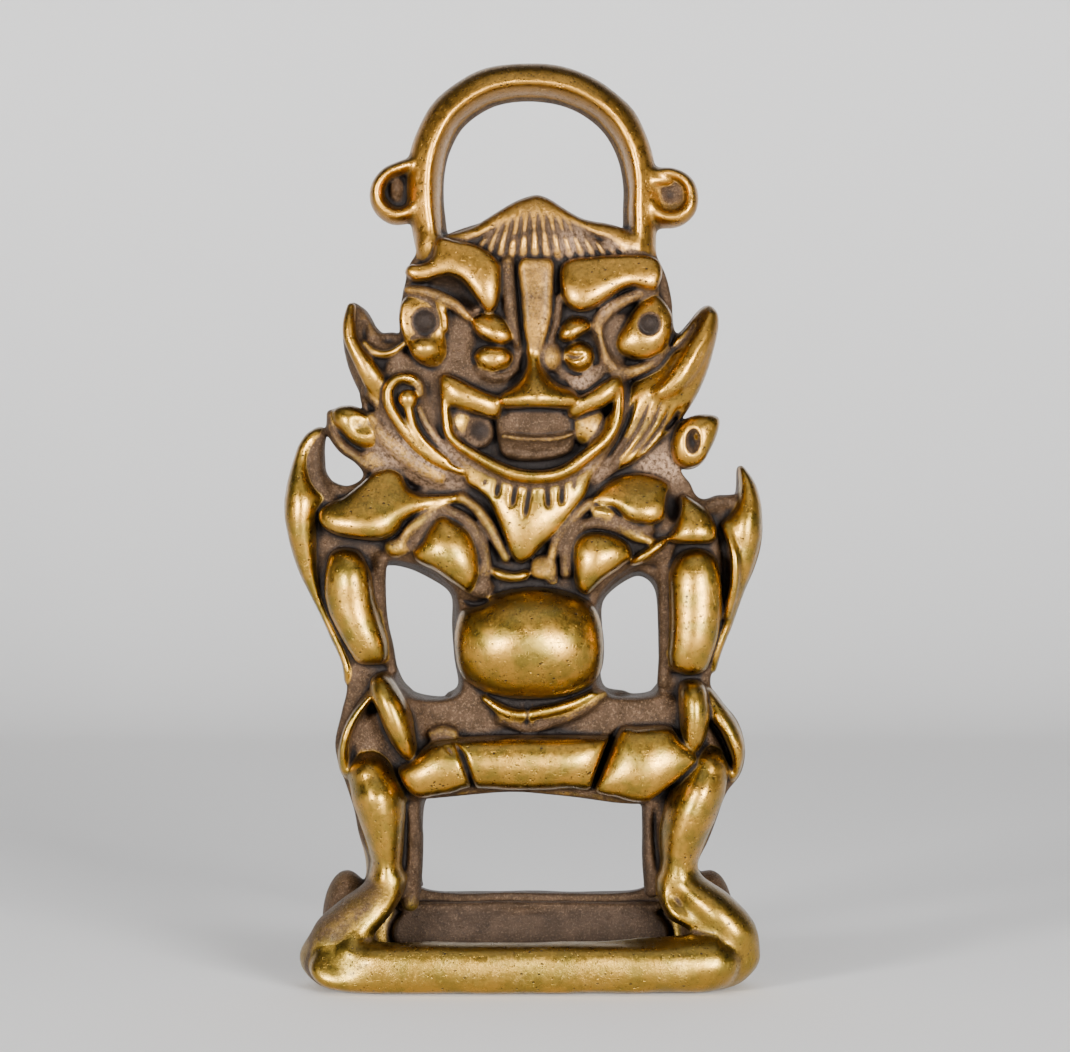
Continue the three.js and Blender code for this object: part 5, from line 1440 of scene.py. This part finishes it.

# %% [markdown]
# The crust is mottled from two browns, with dust and black in its grain. It is pale
# where a finger does reach the ground. Black is painted into the deepest creases as
# shade, on top of the dark oxide there, and where there is little or no polish:
# blackened metal in the eye balls, painted shade in the pits, scoops, opening walls
# and the sunken floor.

# %% Colours of the patina
BROWN = (0.034, 0.0165, 0.005, 1)
PURPLE_BROWN = (0.068, 0.037, 0.018, 1)
DUST = (0.24, 0.15, 0.085, 1)
BLACK = (0.009, 0.006, 0.005, 1)
RUBBED = (0.33, 0.205, 0.125, 1)
crust = blend(ramp(noise(1.1, 5.0, 0.6), 0.35, 0.68), BROWN, PURPLE_BROWN)
crust = blend(work_out("MULTIPLY", ramp(noise(6.5, 4.0, 0.7), 0.50, 0.68), 0.42), crust, DUST)
crust = blend(work_out("MULTIPLY", ramp(noise(6.0, 4.0, 0.7), 0.54, 0.68), 0.55), crust, BLACK)
rubbed_share = work_out("MULTIPLY", reading("rubbed"), ramp(noise(3.4, 5.0, 0.7), 0.36, 0.62))
crust = blend(rubbed_share, crust, RUBBED)
# Little or no polish turns the crust black: blackened metal in the eye balls, painted shade in the pits,
# scoops, opening walls and sunken floor.
crust = blend(ramp(polished, -0.12, 0.1, 0.85, 0.0), crust, BLACK)
# Painted shade: the deepest creases go black, on top of the dark oxide there.
crease_shade = work_out("MULTIPLY_ADD", shelter, 0.3, crease)
crust = blend(ramp(crease_shade, 0.16, 0.5), crust, BLACK)
print("nodes so far:", len(tree.nodes))

# %% Put the two together
METAL_IN_CRUST = 0.35
CRUST_ROUGHNESS = 0.5
brass_shader = add_node("ShaderNodeBsdfPrincipled")
feed(brass_shader, "Base Color", blend(worn, crust, gold))
bright = work_out("MULTIPLY", worn, ramp(pits, 0.0, 1.0, 1.0, 0.3))
metallic = work_out("MULTIPLY_ADD", bright, 1 - METAL_IN_CRUST, METAL_IN_CRUST)
feed(brass_shader, "Metallic", metallic)
shiny = ramp(noise(2.2, 5.0, 0.6), 0.3, 0.7, 0.25, 0.38)
rough = work_out("MULTIPLY_ADD", film, 0.18, shiny)
rough_mix = add_node("ShaderNodeMix", data_type="FLOAT")
feed(rough_mix, 0, worn)
feed(rough_mix, 2, CRUST_ROUGHNESS)
feed(rough_mix, 3, rough)
feed(brass_shader, "Roughness", rough_mix.outputs[0])
feed(brass_shader, "Specular IOR Level", 0.25)
feed(brass_shader, "Coat Weight", work_out("MULTIPLY", worn, 0.12))
feed(brass_shader, "Coat Roughness", 0.22)
print("inputs led by nodes:", sum(socket.is_linked for socket in brass_shader.inputs))

# %% Relief too fine for the mesh
# Heights are in millimetres, so the bump's distance is one millimetre.
relief = work_out("MULTIPLY", pits, -0.06)
relief = work_out("MULTIPLY_ADD", specks, -0.02, relief)
relief = work_out("MULTIPLY_ADD", scratches, -0.005, relief)
relief = work_out("MULTIPLY_ADD", noise(1.6, 4.0, 0.5), 0.014, relief)
grain = work_out("MULTIPLY", noise(7.0, 5.0, 0.7), ramp(worn, 0.0, 1.0, 0.09, 0.012))
relief = work_out("ADD", relief, grain)
bump = add_node("ShaderNodeBump")
feed(bump, "Strength", 1.0)
feed(bump, "Distance", MM)
feed(bump, "Height", relief)
feed(brass_shader, "Normal", bump.outputs[0])
output = add_node("ShaderNodeOutputMaterial")
feed(output, 0, brass_shader.outputs[0])
casting.data.materials.clear()
casting.data.materials.append(brass)
print("nodes in the brass:", len(tree.nodes))

# %% [markdown]
# ## The studio
#
# A pale floor runs up into a pale wall. The photograph was lit softly from near the
# camera, so a small light stands at the left of it and a larger one at the right. Each
# pad then shows two highlights near its middle, and the grounds stay dark. A broad weak
# light overhead and the room itself keep the top of the loop and the back readable.

# %% Floor and backdrop
FLOOR_FRONT = 0.75
FLOOR_HALF_WIDTH = 1.2
WALL_START = 0.27
BEND = 0.12
BEND_STEPS = 12
WALL_TOP = 0.6
profile = [(-FLOOR_FRONT, 0.0), (WALL_START, 0.0)]
for i in range(1, BEND_STEPS + 1):
    angle = math.radians(90 * i / BEND_STEPS)
    profile.append((WALL_START + BEND * math.sin(angle), BEND * (1 - math.cos(angle))))
profile.append((WALL_START + BEND, WALL_TOP))
floor_points = [(side * FLOOR_HALF_WIDTH, y, z) for y, z in profile for side in (-1, 1)]
floor_faces = [(2 * i, 2 * i + 1, 2 * i + 3, 2 * i + 2) for i in range(len(profile) - 1)]
floor_mesh = bpy.data.meshes.new("backdrop")
floor_mesh.from_pydata(floor_points, [], floor_faces)
floor_mesh.polygons.foreach_set("use_smooth", [True] * len(floor_faces))
floor = bpy.data.objects.new("backdrop", floor_mesh)
bpy.context.collection.objects.link(floor)
pale = bpy.data.materials.new("pale_paper")
pale.use_nodes = True
paper = pale.node_tree.nodes["Principled BSDF"]
paper.inputs["Base Color"].default_value = (0.88, 0.87, 0.86, 1)
paper.inputs["Roughness"].default_value = 0.9
floor_mesh.materials.append(pale)
print("backdrop, m:", 2 * FLOOR_HALF_WIDTH, "wide and", WALL_TOP, "high")

# %% Lights
world = bpy.data.worlds.new("soft_room")
world.use_nodes = True
room = world.node_tree.nodes["Background"]
room.inputs["Color"].default_value = (0.93, 0.95, 1.0, 1)
room.inputs["Strength"].default_value = 0.13
bpy.context.scene.world = world
middle = np.array([0.0, 0.0, 0.032])


def soft_light(name, direction, distance, size, power, tint=(1, 1, 1)):
    """An area light aimed at the figure, from so many degrees across and up."""
    data = bpy.data.lights.new(name, "AREA")
    data.shape = "RECTANGLE"
    data.size, data.size_y = size
    data.energy = power
    data.color = tint
    lamp = bpy.data.objects.new(name, data)
    across, up = (math.radians(angle) for angle in direction)
    aim = np.array([math.sin(across) * math.cos(up), -math.cos(across) * math.cos(up), math.sin(up)])
    lamp.location = middle + distance * aim
    lamp.rotation_euler = (math.radians(90) - up, 0, across)
    bpy.context.collection.objects.link(lamp)


soft_light("small_left", (-34, 4), 0.45, (0.09, 0.10), 3.3)
soft_light("large_right", (24, 4), 0.45, (0.13, 0.13), 4.7)
soft_light("overhead_fill", (0, 62), 0.6, (0.5, 0.35), 1.0, (0.93, 0.96, 1.0))
